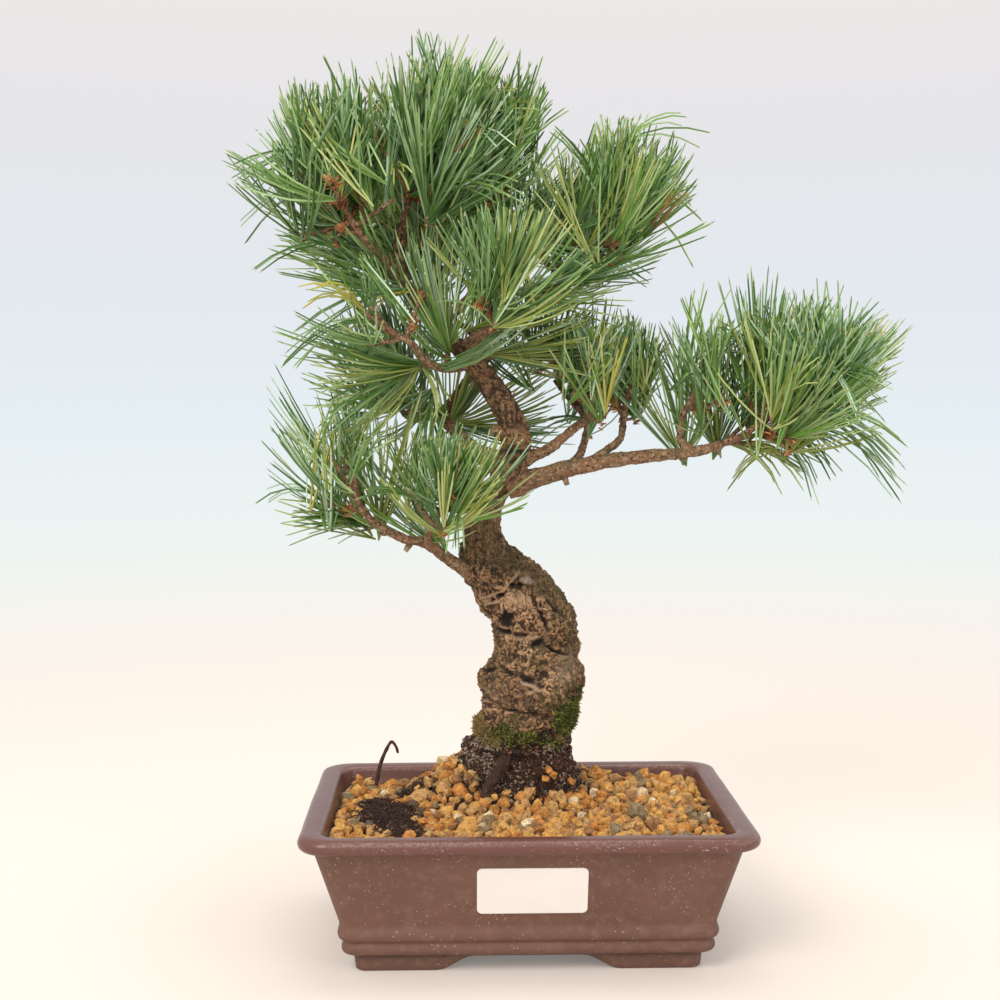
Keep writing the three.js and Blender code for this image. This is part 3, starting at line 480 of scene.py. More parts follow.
class Finish:
    """A node material: one principled surface, with short ways to add layers of colour and relief."""

    def __init__(self, name, colour, roughness, **sockets):
        self.material = bpy.data.materials.new(name)
        self.material.use_nodes = True
        self.tree = self.material.node_tree
        self.surface = self.tree.nodes["Principled BSDF"]
        self.surface.inputs["Base Color"].default_value = (*colour, 1)
        self.surface.inputs["Roughness"].default_value = roughness
        for socket, value in sockets.items():
            self.surface.inputs[socket].default_value = value
        self.place = None

    def link(self, source, target):
        """A link from an output to an input."""
        self.tree.links.new(source, target)

    def made(self, kind, inputs, output, **settings):
        """One output of a new node, whose inputs get values or are linked to other nodes' outputs."""
        node = self.tree.nodes.new("ShaderNode" + kind)
        for setting, value in settings.items():
            setattr(node, setting, value)
        for socket, value in inputs.items():
            if isinstance(value, bpy.types.NodeSocket):
                self.link(value, node.inputs[socket])
            else:
                node.inputs[socket].default_value = value
        return node.outputs[output]

    def where(self, stretch=(1, 1, 1)):
        """Object coordinates, stretched."""
        if self.place is None:
            self.place = self.made("TexCoord", {}, "Object")
        if stretch == (1, 1, 1):
            return self.place
        return self.made("Mapping", {"Scale": stretch, "Vector": self.place}, "Vector")

    def grain(self, scale, detail, low, high, roughness=0.55, stretch=(1, 1, 1)):
        """Noise cut to a mask: 0 below low, 1 above high."""
        inputs = {"Scale": scale, "Detail": detail, "Roughness": roughness, "Vector": self.where(stretch)}
        return self.cut(self.made("TexNoise", inputs, "Fac"), low, high)

    def dots(self, scale, low, high):
        """Round spots: 1 in the middle of each random cell, 0 between them."""
        distance = self.made("TexVoronoi", {"Scale": scale, "Vector": self.where()}, "Distance")
        return self.cut(distance, high, low)

    def cut(self, value, low, high):
        """Map Range from low..high to 0..1."""
        return self.made("MapRange", {"From Min": low, "From Max": high, "Value": value}, "Result")

    def height(self, low, high):
        """0 below one height above the table and 1 above the other, in metres."""
        return self.cut(self.made("SeparateXYZ", {"Vector": self.where()}, "Z"), low, high)

    def value(self, name, low=0.0, high=1.0):
        """A value that the mesh carries on each point."""
        return self.cut(self.made("Attribute", {}, "Fac", attribute_name=name), low, high)

    def times(self, mask, *others):
        """Masks inside one another: their product."""
        for other in others:
            mask = self.made("Math", {0: mask, 1: other}, 0, operation="MULTIPLY")
        return mask

    def tint(self, colour, *masks):
        """The base colour so far, mixed towards another where all the masks are 1."""
        socket = self.surface.inputs["Base Color"]
        before = socket.links[0].from_socket if socket.is_linked else socket.default_value
        inputs = {"Factor": self.times(*masks), 6: before, 7: (*colour, 1)}
        self.link(self.made("Mix", inputs, 2, data_type="RGBA"), socket)

    def gloss(self, mask, low, high):
        """Roughness from one value to another by a mask."""
        shine = self.made("MapRange", {"To Min": low, "To Max": high, "Value": mask}, "Result")
        self.link(shine, self.surface.inputs["Roughness"])

    def relief(self, mask, distance, strength=1.0):
        """A bump on top of those so far, with its depth in metres."""
        socket = self.surface.inputs["Normal"]
        inputs = {"Distance": distance, "Strength": strength, "Height": mask}
        if socket.is_linked:
            inputs["Normal"] = socket.links[0].from_socket
        self.link(self.made("Bump", inputs, "Normal"), socket)


def plain_finishes(name, colours, roughness):
    """One material for each colour, without layers."""
    return [Finish(f"{name}_{k}", colour, roughness).material for k, colour in enumerate(colours)]


# Settings


def colour_setting(name, description, default):
    """A colour of the panel, from its name, its tip and its first value."""
    return bpy.props.FloatVectorProperty(
        name=name, description=description, subtype="COLOR", size=3, min=0, max=1, default=default
    )


class PotSettings(bpy.types.PropertyGroup):
    """Fired clay and the bare label."""

    clay: colour_setting("Clay", "Colour of the matt unglazed clay", (0.150, 0.072, 0.049))
    lip: colour_setting("Lip", "Colour of the worn, glossier lip", (0.128, 0.051, 0.039))
    label: bpy.props.BoolProperty(
        name="Label", description="Whether the bare label is on the front", default=True
    )


class GravelSettings(bpy.types.PropertyGroup):
    """Loose grains on the bed."""

    grain: bpy.props.FloatProperty(
        name="Grain", description="Usual width of one grain", unit="LENGTH", default=0.0058, min=0.002
    )
    seed: bpy.props.IntProperty(name="Seed", description="Starts the random places of the grains", default=5)


class BarkSettings(bpy.types.PropertyGroup):
    """Relief and growth on the trunk."""

    plates: bpy.props.FloatProperty(
        name="Plates", description="Depth of the cracks between bark plates", unit="LENGTH", default=0.0017
    )
    moss: bpy.props.IntProperty(name="Moss", description="Number of blades of moss", default=5200, min=0)
    seed: bpy.props.IntProperty(
        name="Seed", description="Starts the random crumbs, roots and moss", default=3
    )


class NeedleSettings(bpy.types.PropertyGroup):
    """Sprays of needles, in bundles of five."""

    width: bpy.props.FloatProperty(
        name="Width", description="Widest place of one needle", unit="LENGTH", default=0.00095, min=0.0003
    )
    bundles: bpy.props.IntProperty(
        name="Bundles", description="Bundles of five on a main shoot", default=30, min=1
    )
    side_bundles: bpy.props.IntProperty(
        name="Side bundles", description="Bundles of five on a side shoot", default=15, min=1
    )
    side_shoots: bpy.props.IntProperty(
        name="Side shoots", description="Side shoots on a main shoot", default=7
    )


class StudioSettings(bpy.types.PropertyGroup):
    """Floor and light."""

    floor: colour_setting("Floor", "Colour of the plain floor", (0.77, 0.675, 0.61))
    backdrop: colour_setting("Backdrop", "Colour of the backdrop's middle", (0.77, 0.82, 0.87))
    key: bpy.props.FloatProperty(
        name="Key light", description="Strength of the main soft light", unit="POWER", default=17
    )


# Pot


def pot_rings(insets, heights, corner_steps, side_parts=(1, 1)):
    """Rectangles with rounded corners: each corner is a quarter circle whose radius falls with the inset,
    and the long and short sides are cut into side_parts equal parts."""
    insets, heights = np.asarray(insets, float)[:, None], np.asarray(heights, float)[:, None]
    radius = np.maximum(SMALLEST_CORNER, RIM_CORNER - CORNER_LOSS * insets)
    along_x, along_y = RIM_LENGTH / 2 - insets - radius, RIM_DEPTH / 2 - insets - radius
    corners = []
    for quarter, (side_x, side_y) in enumerate([(1, 1), (-1, 1), (-1, -1), (1, -1)]):
        angle = (quarter + np.arange(corner_steps + 1) / corner_steps) * math.pi / 2
        x = side_x * along_x + radius * np.cos(angle)
        y = side_y * along_y + radius * np.sin(angle)
        corners.append(np.stack([x, y, np.broadcast_to(heights, x.shape)], -1))
    rings = []
    for quarter, corner in enumerate(corners):
        start, end = corner[:, -1:], corners[(quarter + 1) % 4][:, :1]
        parts = side_parts[quarter % 2]
        share = (np.arange(1, parts) / parts)[None, :, None]
        rings += [corner, start + (end - start) * share]
    return np.concatenate(rings, 1)


def rounded_profile(points, radius, steps=5):
    """A bent line whose corners are cut by quadratic curves, each from a point before its corner to one
    after it."""
    points = np.asarray(points, float)
    middle = points[1:-1]
    ends = []
    for neighbour in (points[:-2], points[2:]):
        way = neighbour - middle
        reach = np.minimum(radius, np.linalg.norm(way, axis=-1) * 0.48)[:, None]
        ends.append((middle + unit(way) * reach)[:, None])
    curve = quadratic(ends[0], middle[:, None], ends[1], np.linspace(0, 1, steps)[None, :, None])
    return np.concatenate([points[:1], curve.reshape(-1, 2), points[-1:]])


def wall_inset(z):
    """Inset of the pot's inner wall, which runs straight from the lip to the floor."""
    lip_inset, lip_z = POT_OUTSIDE[-1]
    return FLOOR_INSET + (z - FLOOR_TOP) * (lip_inset - FLOOR_INSET) / (lip_z - FLOOR_TOP)


def foot_rise(ring):
    """Height of the feet's lower edge: 0 at the corners, and over the last stretch before each gap it rises
    as s * s * (3 - 2 s) to the gap's height."""
    near_x = ease(np.abs(ring[..., 0]), FOOT_GAP_LENGTH / 2 - FOOT_GAP_EASE, FOOT_GAP_LENGTH / 2)
    near_y = ease(np.abs(ring[..., 1]), FOOT_GAP_DEPTH / 2 - FOOT_GAP_EASE, FOOT_GAP_DEPTH / 2)
    on_long = np.abs(ring[..., 1]) > RIM_DEPTH / 2 - FOOT_INSET - FOOT_WIDTH - 1
    return FOOT_GAP_RISE * (1 - np.where(on_long, near_x, near_y))


def feet_surface():
    """The ring of feet: a section of six points carried round the pot. The lower ones follow foot_rise."""
    inner = FOOT_INSET + FOOT_WIDTH
    insets = [inner, inner - FOOT_EDGE, FOOT_INSET + FOOT_EDGE, FOOT_INSET, FOOT_INSET - FOOT_FLARE, inner]
    rings = pot_rings(insets, np.zeros(6), 8, (60, 40))
    rise = foot_rise(rings[3])
    sunk = np.full_like(rise, UNDERSIDE + FOOT_SUNK)
    rings[..., 2] = np.stack([rise + FOOT_EDGE, rise, rise, rise + FOOT_EDGE, sunk, sunk])
    count, around = rings.shape[:2]
    low = (np.arange(count) * around)[:, None]
    return rings.reshape(-1, 3), [quads_between(low, np.roll(low, -1, 0), around)]


def cut_drains(piece):
    """Two round holes through the floor, cut by a boolean that is applied at once."""
    rings = []
    for side in (-1, 1):
        flat = DRAIN_RADIUS * on_circle(round_angles(32)) + (side * DRAIN_SPACING / 2, 0)
        rows = [np.column_stack([flat, np.full(len(flat), z)]) for z in (0.0, 2.0 * FLOOR_TOP)]
        rings.append(wrapped(np.stack(rows)))
    cutter = show("drain_cutter", *joined(rings), [])
    modifier = piece.modifiers.new("drains", "BOOLEAN")
    modifier.object = cutter
    modifier.solver = "EXACT"
    modifier.material_mode = "INDEX"
    carved = bpy.data.meshes.new_from_object(piece.evaluated_get(bpy.context.evaluated_depsgraph_get()))
    piece.modifiers.clear()
    piece.data = carved
    bpy.data.objects.remove(cutter)


def clay_finish(settings):
    """Matt brown clay with fine pale grit, darker and glossier from the lip up, with dust and a painted
    highlight along the lip's rounded upper edge, and a broken line of pale scuffs and painted glints under
    it.
    Heights are in metres above the table."""
    clay = Finish("clay", settings.clay, 0.62, **{"Specular IOR Level": 0.42})
    clay.tint((0.118, 0.055, 0.038), clay.grain(38, 5, 0.35, 0.75))
    clay.tint((0.225, 0.128, 0.092), clay.grain(260, 4, 0.50, 0.75), 0.5)
    lip = clay.height(0.0535, 0.0560)
    clay.tint(settings.lip, lip, 0.92)
    clay.tint((0.42, 0.33, 0.28), clay.dots(520, 0.10, 0.15), clay.grain(90, 2, 0.46, 0.56))
    scuffs = clay.times(clay.grain(150, 6, 0.60, 0.72, 0.7, (1, 1, 3)), clay.grain(24, 2, 0.48, 0.60))
    clay.tint((0.33, 0.27, 0.24), scuffs, 0.25)
    # Dust and a painted highlight: a paler broken band along the lip's rounded upper edge
    dust_and_highlight = clay.times(clay.height(0.0582, 0.0596), clay.height(0.0609, 0.0602))
    dust_and_highlight = clay.times(dust_and_highlight, clay.grain(900, 5, 0.42, 0.58, 0.7))
    clay.tint((0.36, 0.25, 0.22), dust_and_highlight, clay.grain(22, 2, 0.40, 0.55), 0.40)
    # Pale scuffs and painted glints: a broken line of near-white specks along the lip's bulge
    wear_and_painted_light = clay.times(clay.height(0.0560, 0.0566), clay.height(0.0590, 0.0582))
    wear_and_painted_light = clay.times(wear_and_painted_light, clay.grain(480, 5, 0.58, 0.63, 0.75, (1, 1, 2)))
    clay.tint((0.66, 0.58, 0.54), wear_and_painted_light, clay.grain(13, 2, 0.57, 0.64), 0.85)
    clay.gloss(lip, 0.62, 0.30)
    clay.relief(clay.grain(900, 3, 0.2, 0.8), 0.00012, 0.5)
    clay.relief(clay.grain(120, 3, 0.2, 0.8), 0.00030, 0.4)
    return clay.material


class BONSAI_OT_pot(bpy.types.Operator):
    """Make the clay pot on its corner feet"""

    bl_idname = "bonsai.pot"
    bl_label = "Pot"

    def execute(self, context):
        settings = context.scene.bonsai_pot
        profile = rounded_profile(POT_OUTSIDE, 1.4)
        inner = [(wall_inset(z), z) for z in (54, 50, 40, 28, FLOOR_TOP + 1)]
        profile = np.concatenate([profile, inner, [(FLOOR_INSET + 2, FLOOR_TOP)]])
        rows = pot_rings(profile[:, 0], profile[:, 1], 12, (48, 34))
        wobble = 0.22 * noise(rows / 46, 8) + 0.10 * noise(rows / 15, 9)
        rows, _ = raised(rows, wobble * ease(rows[..., 2], 9, 20))
        pot = show("pot_clay", *wrapped(rows), [clay_finish(settings)])
        cut_drains(pot)
        feet = show("pot_feet", *feet_surface(), [pot.data.materials[0]])
        for piece in (pot, feet):
            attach(piece, "root")
        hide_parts("pot")
        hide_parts("pot")
        return {"FINISHED"}


class BONSAI_OT_label(bpy.types.Operator):
    """Make the bare white label on the front of the pot"""

    bl_idname = "bonsai.label"
    bl_label = "Label"

    def execute(self, context):
        if not context.scene.bonsai_pot.label:
            return {"FINISHED"}
        (low_inset, low_z), (high_inset, high_z) = POT_OUTSIDE[6], POT_OUTSIDE[7]
        up = unit(np.array([0, high_inset - low_inset, high_z - low_z], float))
        across = np.array([1.0, 0, 0])
        out = np.cross(across, up)
        middle_inset = low_inset + (LABEL_MIDDLE[1] - low_z) * (high_inset - low_inset) / (high_z - low_z)
        middle = np.array([LABEL_MIDDLE[0], middle_inset - RIM_DEPTH / 2, LABEL_MIDDLE[1]])
        angle = (np.arange(4)[:, None] + np.arange(LABEL_STEPS + 1) / LABEL_STEPS) * math.pi / 2
        half = np.array(LABEL_SIZE) / 2 - LABEL_CORNER
        signs = np.array([(1, 1), (-1, 1), (-1, -1), (1, -1)])[:, None]
        edge = (signs * half + LABEL_CORNER * on_circle(angle)).reshape(-1, 2)
        lifts = [(0.0, -0.4), (0.0, 0.42), (0.10, 0.50)]  # inset and height above the wall of each ring
        rows = np.stack([
            middle + (edge[:, :1] * (1 - 2 * inset / LABEL_SIZE[0])) * across
            + (edge[:, 1:] * (1 - 2 * inset / LABEL_SIZE[1])) * up + lift * out
            for inset, lift in lifts
        ])
        paper = Finish("label_paper", (0.80, 0.765, 0.725), 0.38)
        paper.tint((0.75, 0.71, 0.67), paper.grain(60, 3, 0.3, 0.8))
        paper.relief(paper.grain(240, 2, 0.3, 0.7), 0.00005, 0.3)
        label = show("label", *wrapped(rows), [paper.material], smooth=False)
        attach(label, "root")
        return {"FINISHED"}


# Gravel and root mound


def soil_height(x, y):
    """A level bed with broad heaps: level + rise * exp(-(dx / a)^2 - (dy / b)^2), summed over the heaps."""
    total = np.full(np.shape(x), float(SOIL_LEVEL))
    for heap_x, heap_y, rise, spread_x, spread_y in SOIL_HEAPS:
        total += rise * np.exp(-(((x - heap_x) / spread_x) ** 2) - ((y - heap_y) / spread_y) ** 2)
    return total


def in_patch(x, y):
    """How far a place lies inside a patch of bare peat: 1 in its middle, 0 on its edge and outside."""
    inside = np.zeros(np.shape(x))
    for middle_x, middle_y, turn, length, width in PEAT_PATCHES:
        cos, sin = math.cos(turn), math.sin(turn)
        along = (x - middle_x) * cos + (y - middle_y) * sin
        aside = (y - middle_y) * cos - (x - middle_x) * sin
        inside = np.maximum(inside, 1 - np.hypot(along / length, aside / width))
    place = np.stack([x, y, np.zeros_like(x)], -1)
    return np.clip(inside + 0.34 * layered(place / 8, 77, 2) * (inside > 0), 0, 1)


def peat_height(x, y):
    """The bed under the grains: it lies below them, and rises between them in the patches of bare peat."""
    return soil_height(x, y) - BED_DEPTH + PEAT_RISE * ease(in_patch(x, y), 0, 0.5)


def mound_radius(share):
    """Radius of the root mound, which falls from foot to top as share^0.8."""
    return MOUND["foot_radius"] + (MOUND["top_radius"] - MOUND["foot_radius"]) * share**MOUND_FLARE


def mound_place(share, angle, extra=0.0):
    """A place on the root mound, a lumpy cone frustum, or as far outside it as extra says."""
    broad, narrow = MOUND_LUMPS
    lump = 1 + broad * np.sin(3 * angle + 5 * share) + narrow * np.cos(5 * angle - 3 * share)
    reach = (mound_radius(np.maximum(share, 0)) + extra) * lump
    return np.stack([
        MOUND["x"] + reach * np.cos(angle),
        MOUND["y"] + reach * MOUND["depth_ratio"] * np.sin(angle),
        MOUND["foot"] + (MOUND["top"] - MOUND["foot"]) * share,
    ], -1)


def mound_reach(x, y, z):
    """How far outside the mound's side a place is, as a share of the mound's radius at its height."""
    radius = mound_radius(np.clip((z - MOUND["foot"]) / (MOUND["top"] - MOUND["foot"]), 0, 1))
    return np.hypot((x - MOUND["x"]) / radius, (y - MOUND["y"]) / radius / MOUND["depth_ratio"])


def spots_on_peat(random, count, inside):
    """Random places over the bare patches: those that lie further inside a patch than a share."""
    spots = random.uniform(*PEAT_AREA, (count, 2))
    return spots[in_patch(spots[:, 0], spots[:, 1]) > inside]


def spread_out(places, radii, keep, rounds):
    """Pushes overlapping discs apart by a part of each overlap in every round. keep brings them back."""
    for _ in range(rounds):
        gap = places[:, None] - places[None]
        apart = np.linalg.norm(gap, axis=-1) + np.eye(len(places)) * 99
        overlap = np.maximum((radii[:, None] + radii[None]) * 0.93 - apart, 0)
        places = places + (gap / apart[..., None] * overlap[..., None] * 0.4).sum(1)
        places = keep(places)
    return places


def stones(random, places, sizes, shape, fine):
    """Broken grains: each corner of a regular shape is moved at random and the whole is squashed. Fine ones
    have every face cut in four, each new point (a + b) / 2 moved out or in at random."""
    corners, faces = shape
    count = len(places)
    radius = random.uniform(0.68, 1.15, (count, len(corners), 1))
    squash = random.uniform([0.85, 0.72, 0.58], [1.15, 0.98, 0.84], (count, 3))
    local = (corners * radius + random.normal(0, 0.12, (count, len(corners), 3))) * squash[:, None]
    if fine:
        sides = np.concatenate([faces[:, [0, 1]], faces[:, [1, 2]], faces[:, [2, 0]]])
        edges = np.unique(np.sort(sides, 1), axis=0)
        between = {tuple(edge): len(corners) + k for k, edge in enumerate(edges.tolist())}
        cut = [[between[tuple(sorted((f[k], f[(k + 1) % 3])))] for k in range(3)] for f in faces.tolist()]
        faces = np.array([
            part for (a, b, c), (ab, bc, ca) in zip(faces.tolist(), cut)
            for part in ((a, ab, ca), (ab, b, bc), (ca, bc, c), (ab, bc, ca))
        ])
        between_points = local[:, edges].mean(2) * random.uniform(0.93, 1.09, (count, len(edges), 1))
        local = np.concatenate([local * 0.97, between_points], 1)
    turned = np.einsum("nij,nvj->nvi", turns_of(random, count), local)
    placed = places[:, None] + turned * sizes[:, None, None]
    start = (np.arange(count) * local.shape[1])[:, None, None]
    return placed.reshape(-1, 3), [(start + faces).reshape(-1, 3)]


GRAVEL_COLOURS = [
    ("gravel_orange", (0.600, 0.245, 0.052), 0.20),
    ("gravel_gold", (0.690, 0.350, 0.088), 0.30),
    ("gravel_tan", (0.580, 0.320, 0.112), 0.24),
    ("gravel_brown", (0.350, 0.165, 0.060), 0.12),
    ("gravel_grey", (0.290, 0.200, 0.100), 0.09),
    ("gravel_cream", (0.860, 0.640, 0.380), 0.035),
    ("gravel_dark", (0.120, 0.082, 0.052), 0.015),
]
GRAVEL_CRUST = (1.30, 1.48, 1.55)
CRUMB_COLOURS = [
    ("crumb_dark", (0.085, 0.032, 0.017), 0.42),
    ("crumb_black", (0.022, 0.014, 0.010), 0.34),
    ("crumb_pale", (0.44, 0.33, 0.245), 0.06),
    ("crumb_tan", (0.27, 0.12, 0.055), 0.18),
]
PALE_CRUMB = 2


def darker(colour, share):
    """A colour's parts, each times a share."""
    return tuple(part * share for part in colour)


def gravel_finish(name, colour):
    """Dusty fired stone: its own colour, paler crust, dark pits and a fine rough relief."""
    stone = Finish(name, colour, 0.9)
    crust = tuple(min(1, part * more + 0.015) for part, more in zip(colour, GRAVEL_CRUST))
    stone.tint(crust, stone.grain(240, 4, 0.46, 0.62), 0.6)
    stone.tint(darker(colour, 0.42), stone.grain(420, 5, 0.49, 0.60, 0.7), 0.7)
    stone.tint(darker(colour, 0.30), stone.grain(1300, 3, 0.56, 0.64), 0.7)
    stone.relief(stone.grain(1000, 5, 0.2, 0.8, 0.7), 0.0006, 0.9)
    return stone.material


def peat_finish(name, colour, speck):
    """Dark peat with fibres and mineral specks."""
    peat = Finish(name, colour, 0.93)
    peat.tint(darker(colour, 0.35), peat.grain(300, 5, 0.4, 0.7))
    peat.tint(speck, peat.dots(1100, 0.12, 0.22))
    peat.relief(peat.grain(800, 5, 0.2, 0.8), 0.0006, 0.8)
    return peat.material


def root_finish():
    """Nearly black root bark, with redder ridges and pale flecks along the root."""
    root = Finish("root_bark", (0.034, 0.015, 0.010), 0.9)
    root.tint((0.080, 0.032, 0.020), root.grain(600, 5, 0.45, 0.62, 0.7, (1, 1, 0.6)))
    root.tint((0.150, 0.074, 0.052), root.grain(900, 4, 0.57, 0.66, 0.7, (1, 1, 0.5)), 0.7)
    root.relief(root.grain(700, 5, 0.2, 0.8, 0.7), 0.0008, 0.9)
    return root.material


class BONSAI_OT_gravel(bpy.types.Operator):
    """Make the bed and its loose grains"""

    bl_idname = "bonsai.gravel"
    bl_label = "Gravel"

    def execute(self, context):
        settings = context.scene.bonsai_gravel
        random = np.random.default_rng(settings.seed)
        grain = settings.grain / MM
        # Bed: rings from the floor up the wall, then inwards to the middle of the mound
        inset = wall_inset(SOIL_LEVEL - 1) + SOIL_PLAY
        edge = pot_rings([inset], [SOIL_LEVEL - 3], 6, (60, 44))[0]
        foot = pot_rings([FLOOR_INSET + SOIL_PLAY], [FLOOR_TOP + SOIL_PLAY], 6, (60, 44))[0]
        share = np.linspace(0, 0.97, 60)[:, None]
        x = edge[:, 0] * (1 - share) + MOUND["x"] * share
        y = edge[:, 1] * (1 - share) + MOUND["y"] * share
        place = np.stack([x, y, np.zeros_like(x)], -1)
        z = peat_height(x, y) + 0.8 * layered(place / 4, 3)
        z[0] = np.minimum(z[0], SOIL_LEVEL - 2)
        rows = np.concatenate([foot[None], np.stack([x, y, z], -1)])
        # The bed's peat is darker than the mound's: painted shade in the gaps between the grains, besides
        # the peat's own colour
        dark = peat_finish("bed_peat_and_gap_shade", (0.046, 0.022, 0.013), (0.26, 0.16, 0.10))
        bed = show("soil_bed", *wrapped(rows), [dark])
        # Grains: a jittered lattice in three layers, pushed apart, each resting at its layer's depth
        points, radii = [], []
        for layer, (pitch, sink) in enumerate(GRAVEL_LAYERS):
            step = grain * pitch
            gx, gy = np.meshgrid(np.arange(-90, 90, step), np.arange(-64, 64, step * 0.87))
            gx = gx + (np.arange(gx.shape[0]) % 2 * step / 2)[:, None]
            spots = np.stack([gx.ravel(), gy.ravel()], -1) + random.uniform(-0.33, 0.33, (gx.size, 2)) * step
            size = grain / 2 * random.lognormal(0, 0.21, len(spots))
            if layer == 2:
                few = random.random(len(spots)) < TOP_LAYER_SHARE
                spots, size = spots[few], size[few]
            height = soil_height(spots[:, 0], spots[:, 1])
            limit = np.array([RIM_LENGTH / 2, RIM_DEPTH / 2]) - wall_inset(SOIL_LEVEL) - 0.5
            inside = (np.abs(spots) < limit - size[:, None] * 0.8).all(1)
            corner = np.maximum(np.abs(spots) - (limit - 9), 0)
            inside &= np.linalg.norm(corner, axis=-1) < 9 - size * 0.8
            inside &= mound_reach(spots[:, 0], spots[:, 1], height) > 1.0 + size / 30
            inside &= in_patch(spots[:, 0], spots[:, 1]) < 0.10
            spots, size, height = spots[inside], size[inside], height[inside]
            if layer < 2:
                spots = spread_out(spots, size * 0.92, lambda p: np.clip(p, -limit + 2.4, limit - 2.4), 10)
                height = soil_height(spots[:, 0], spots[:, 1])
            points.append(np.column_stack([spots, height - sink + random.uniform(-0.7, 0.7, len(spots))]))
            radii.append(size)
        places, sizes = np.concatenate(points), np.concatenate(radii) * 1.10
        places = np.concatenate([places, LOST_GRAINS])
        sizes = np.concatenate([sizes, np.full(len(LOST_GRAINS), grain * 0.42)])
        points, faces = stones(random, places, sizes, icosahedron(), True)
        shares = np.array([share for _, _, share in GRAVEL_COLOURS])
        colour = random.choice(len(GRAVEL_COLOURS), len(places), p=shares / shares.sum())
        colour[-len(LOST_GRAINS):] = 0
        finishes = [gravel_finish(name, tint) for name, tint, _ in GRAVEL_COLOURS]
        half = len(places) // 2
        per_stone = len(faces[0]) // len(places)
        cut, corner = half * per_stone, half * (len(points) // len(places))
        of_face = np.repeat(colour, per_stone)
        for name, some_points, some_faces, kinds in (
            ("gravel_front", points[:corner], faces[0][:cut], of_face[:cut]),
            ("gravel_back", points[corner:], faces[0][cut:] - corner, of_face[cut:]),
        ):
            piece = show(name, some_points, [some_faces], finishes, kinds, smooth=False)
            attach(piece, "root")
            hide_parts("soil")
        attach(bed, "root")
        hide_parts("soil")
        return {"FINISHED"}


def hair_roots(random, starts, lengths, radii):
    """Fine roots: quadratic curves from random starts, laid on the soil or the peat, arched between."""
    heading = random.uniform(0, FULL_TURN, len(starts))
    bend = heading + random.normal(0, 0.9, len(starts))
    share = np.linspace(0, 1, 9)[None, :, None]
    middle = starts[:, :2] + on_circle(heading) * lengths[:, None] * 0.5
    end = middle + on_circle(bend) * lengths[:, None] * 0.5
    path = quadratic(starts[:, None, :2], middle[:, None], end[:, None], share)
    arch = np.sin(np.pi * share[..., 0]) * random.uniform(0.2, 2.2, (len(starts), 1))
    x, y = path[..., 0], path[..., 1]
    level = np.maximum(soil_height(x, y) - 0.5, peat_height(x, y) + 0.5)
    path = np.concatenate([path, (level + arch)[..., None]], -1)
    taper = radii[:, None] * (1 - 0.6 * share[..., 0])
    return tubes(path, taper, 5)


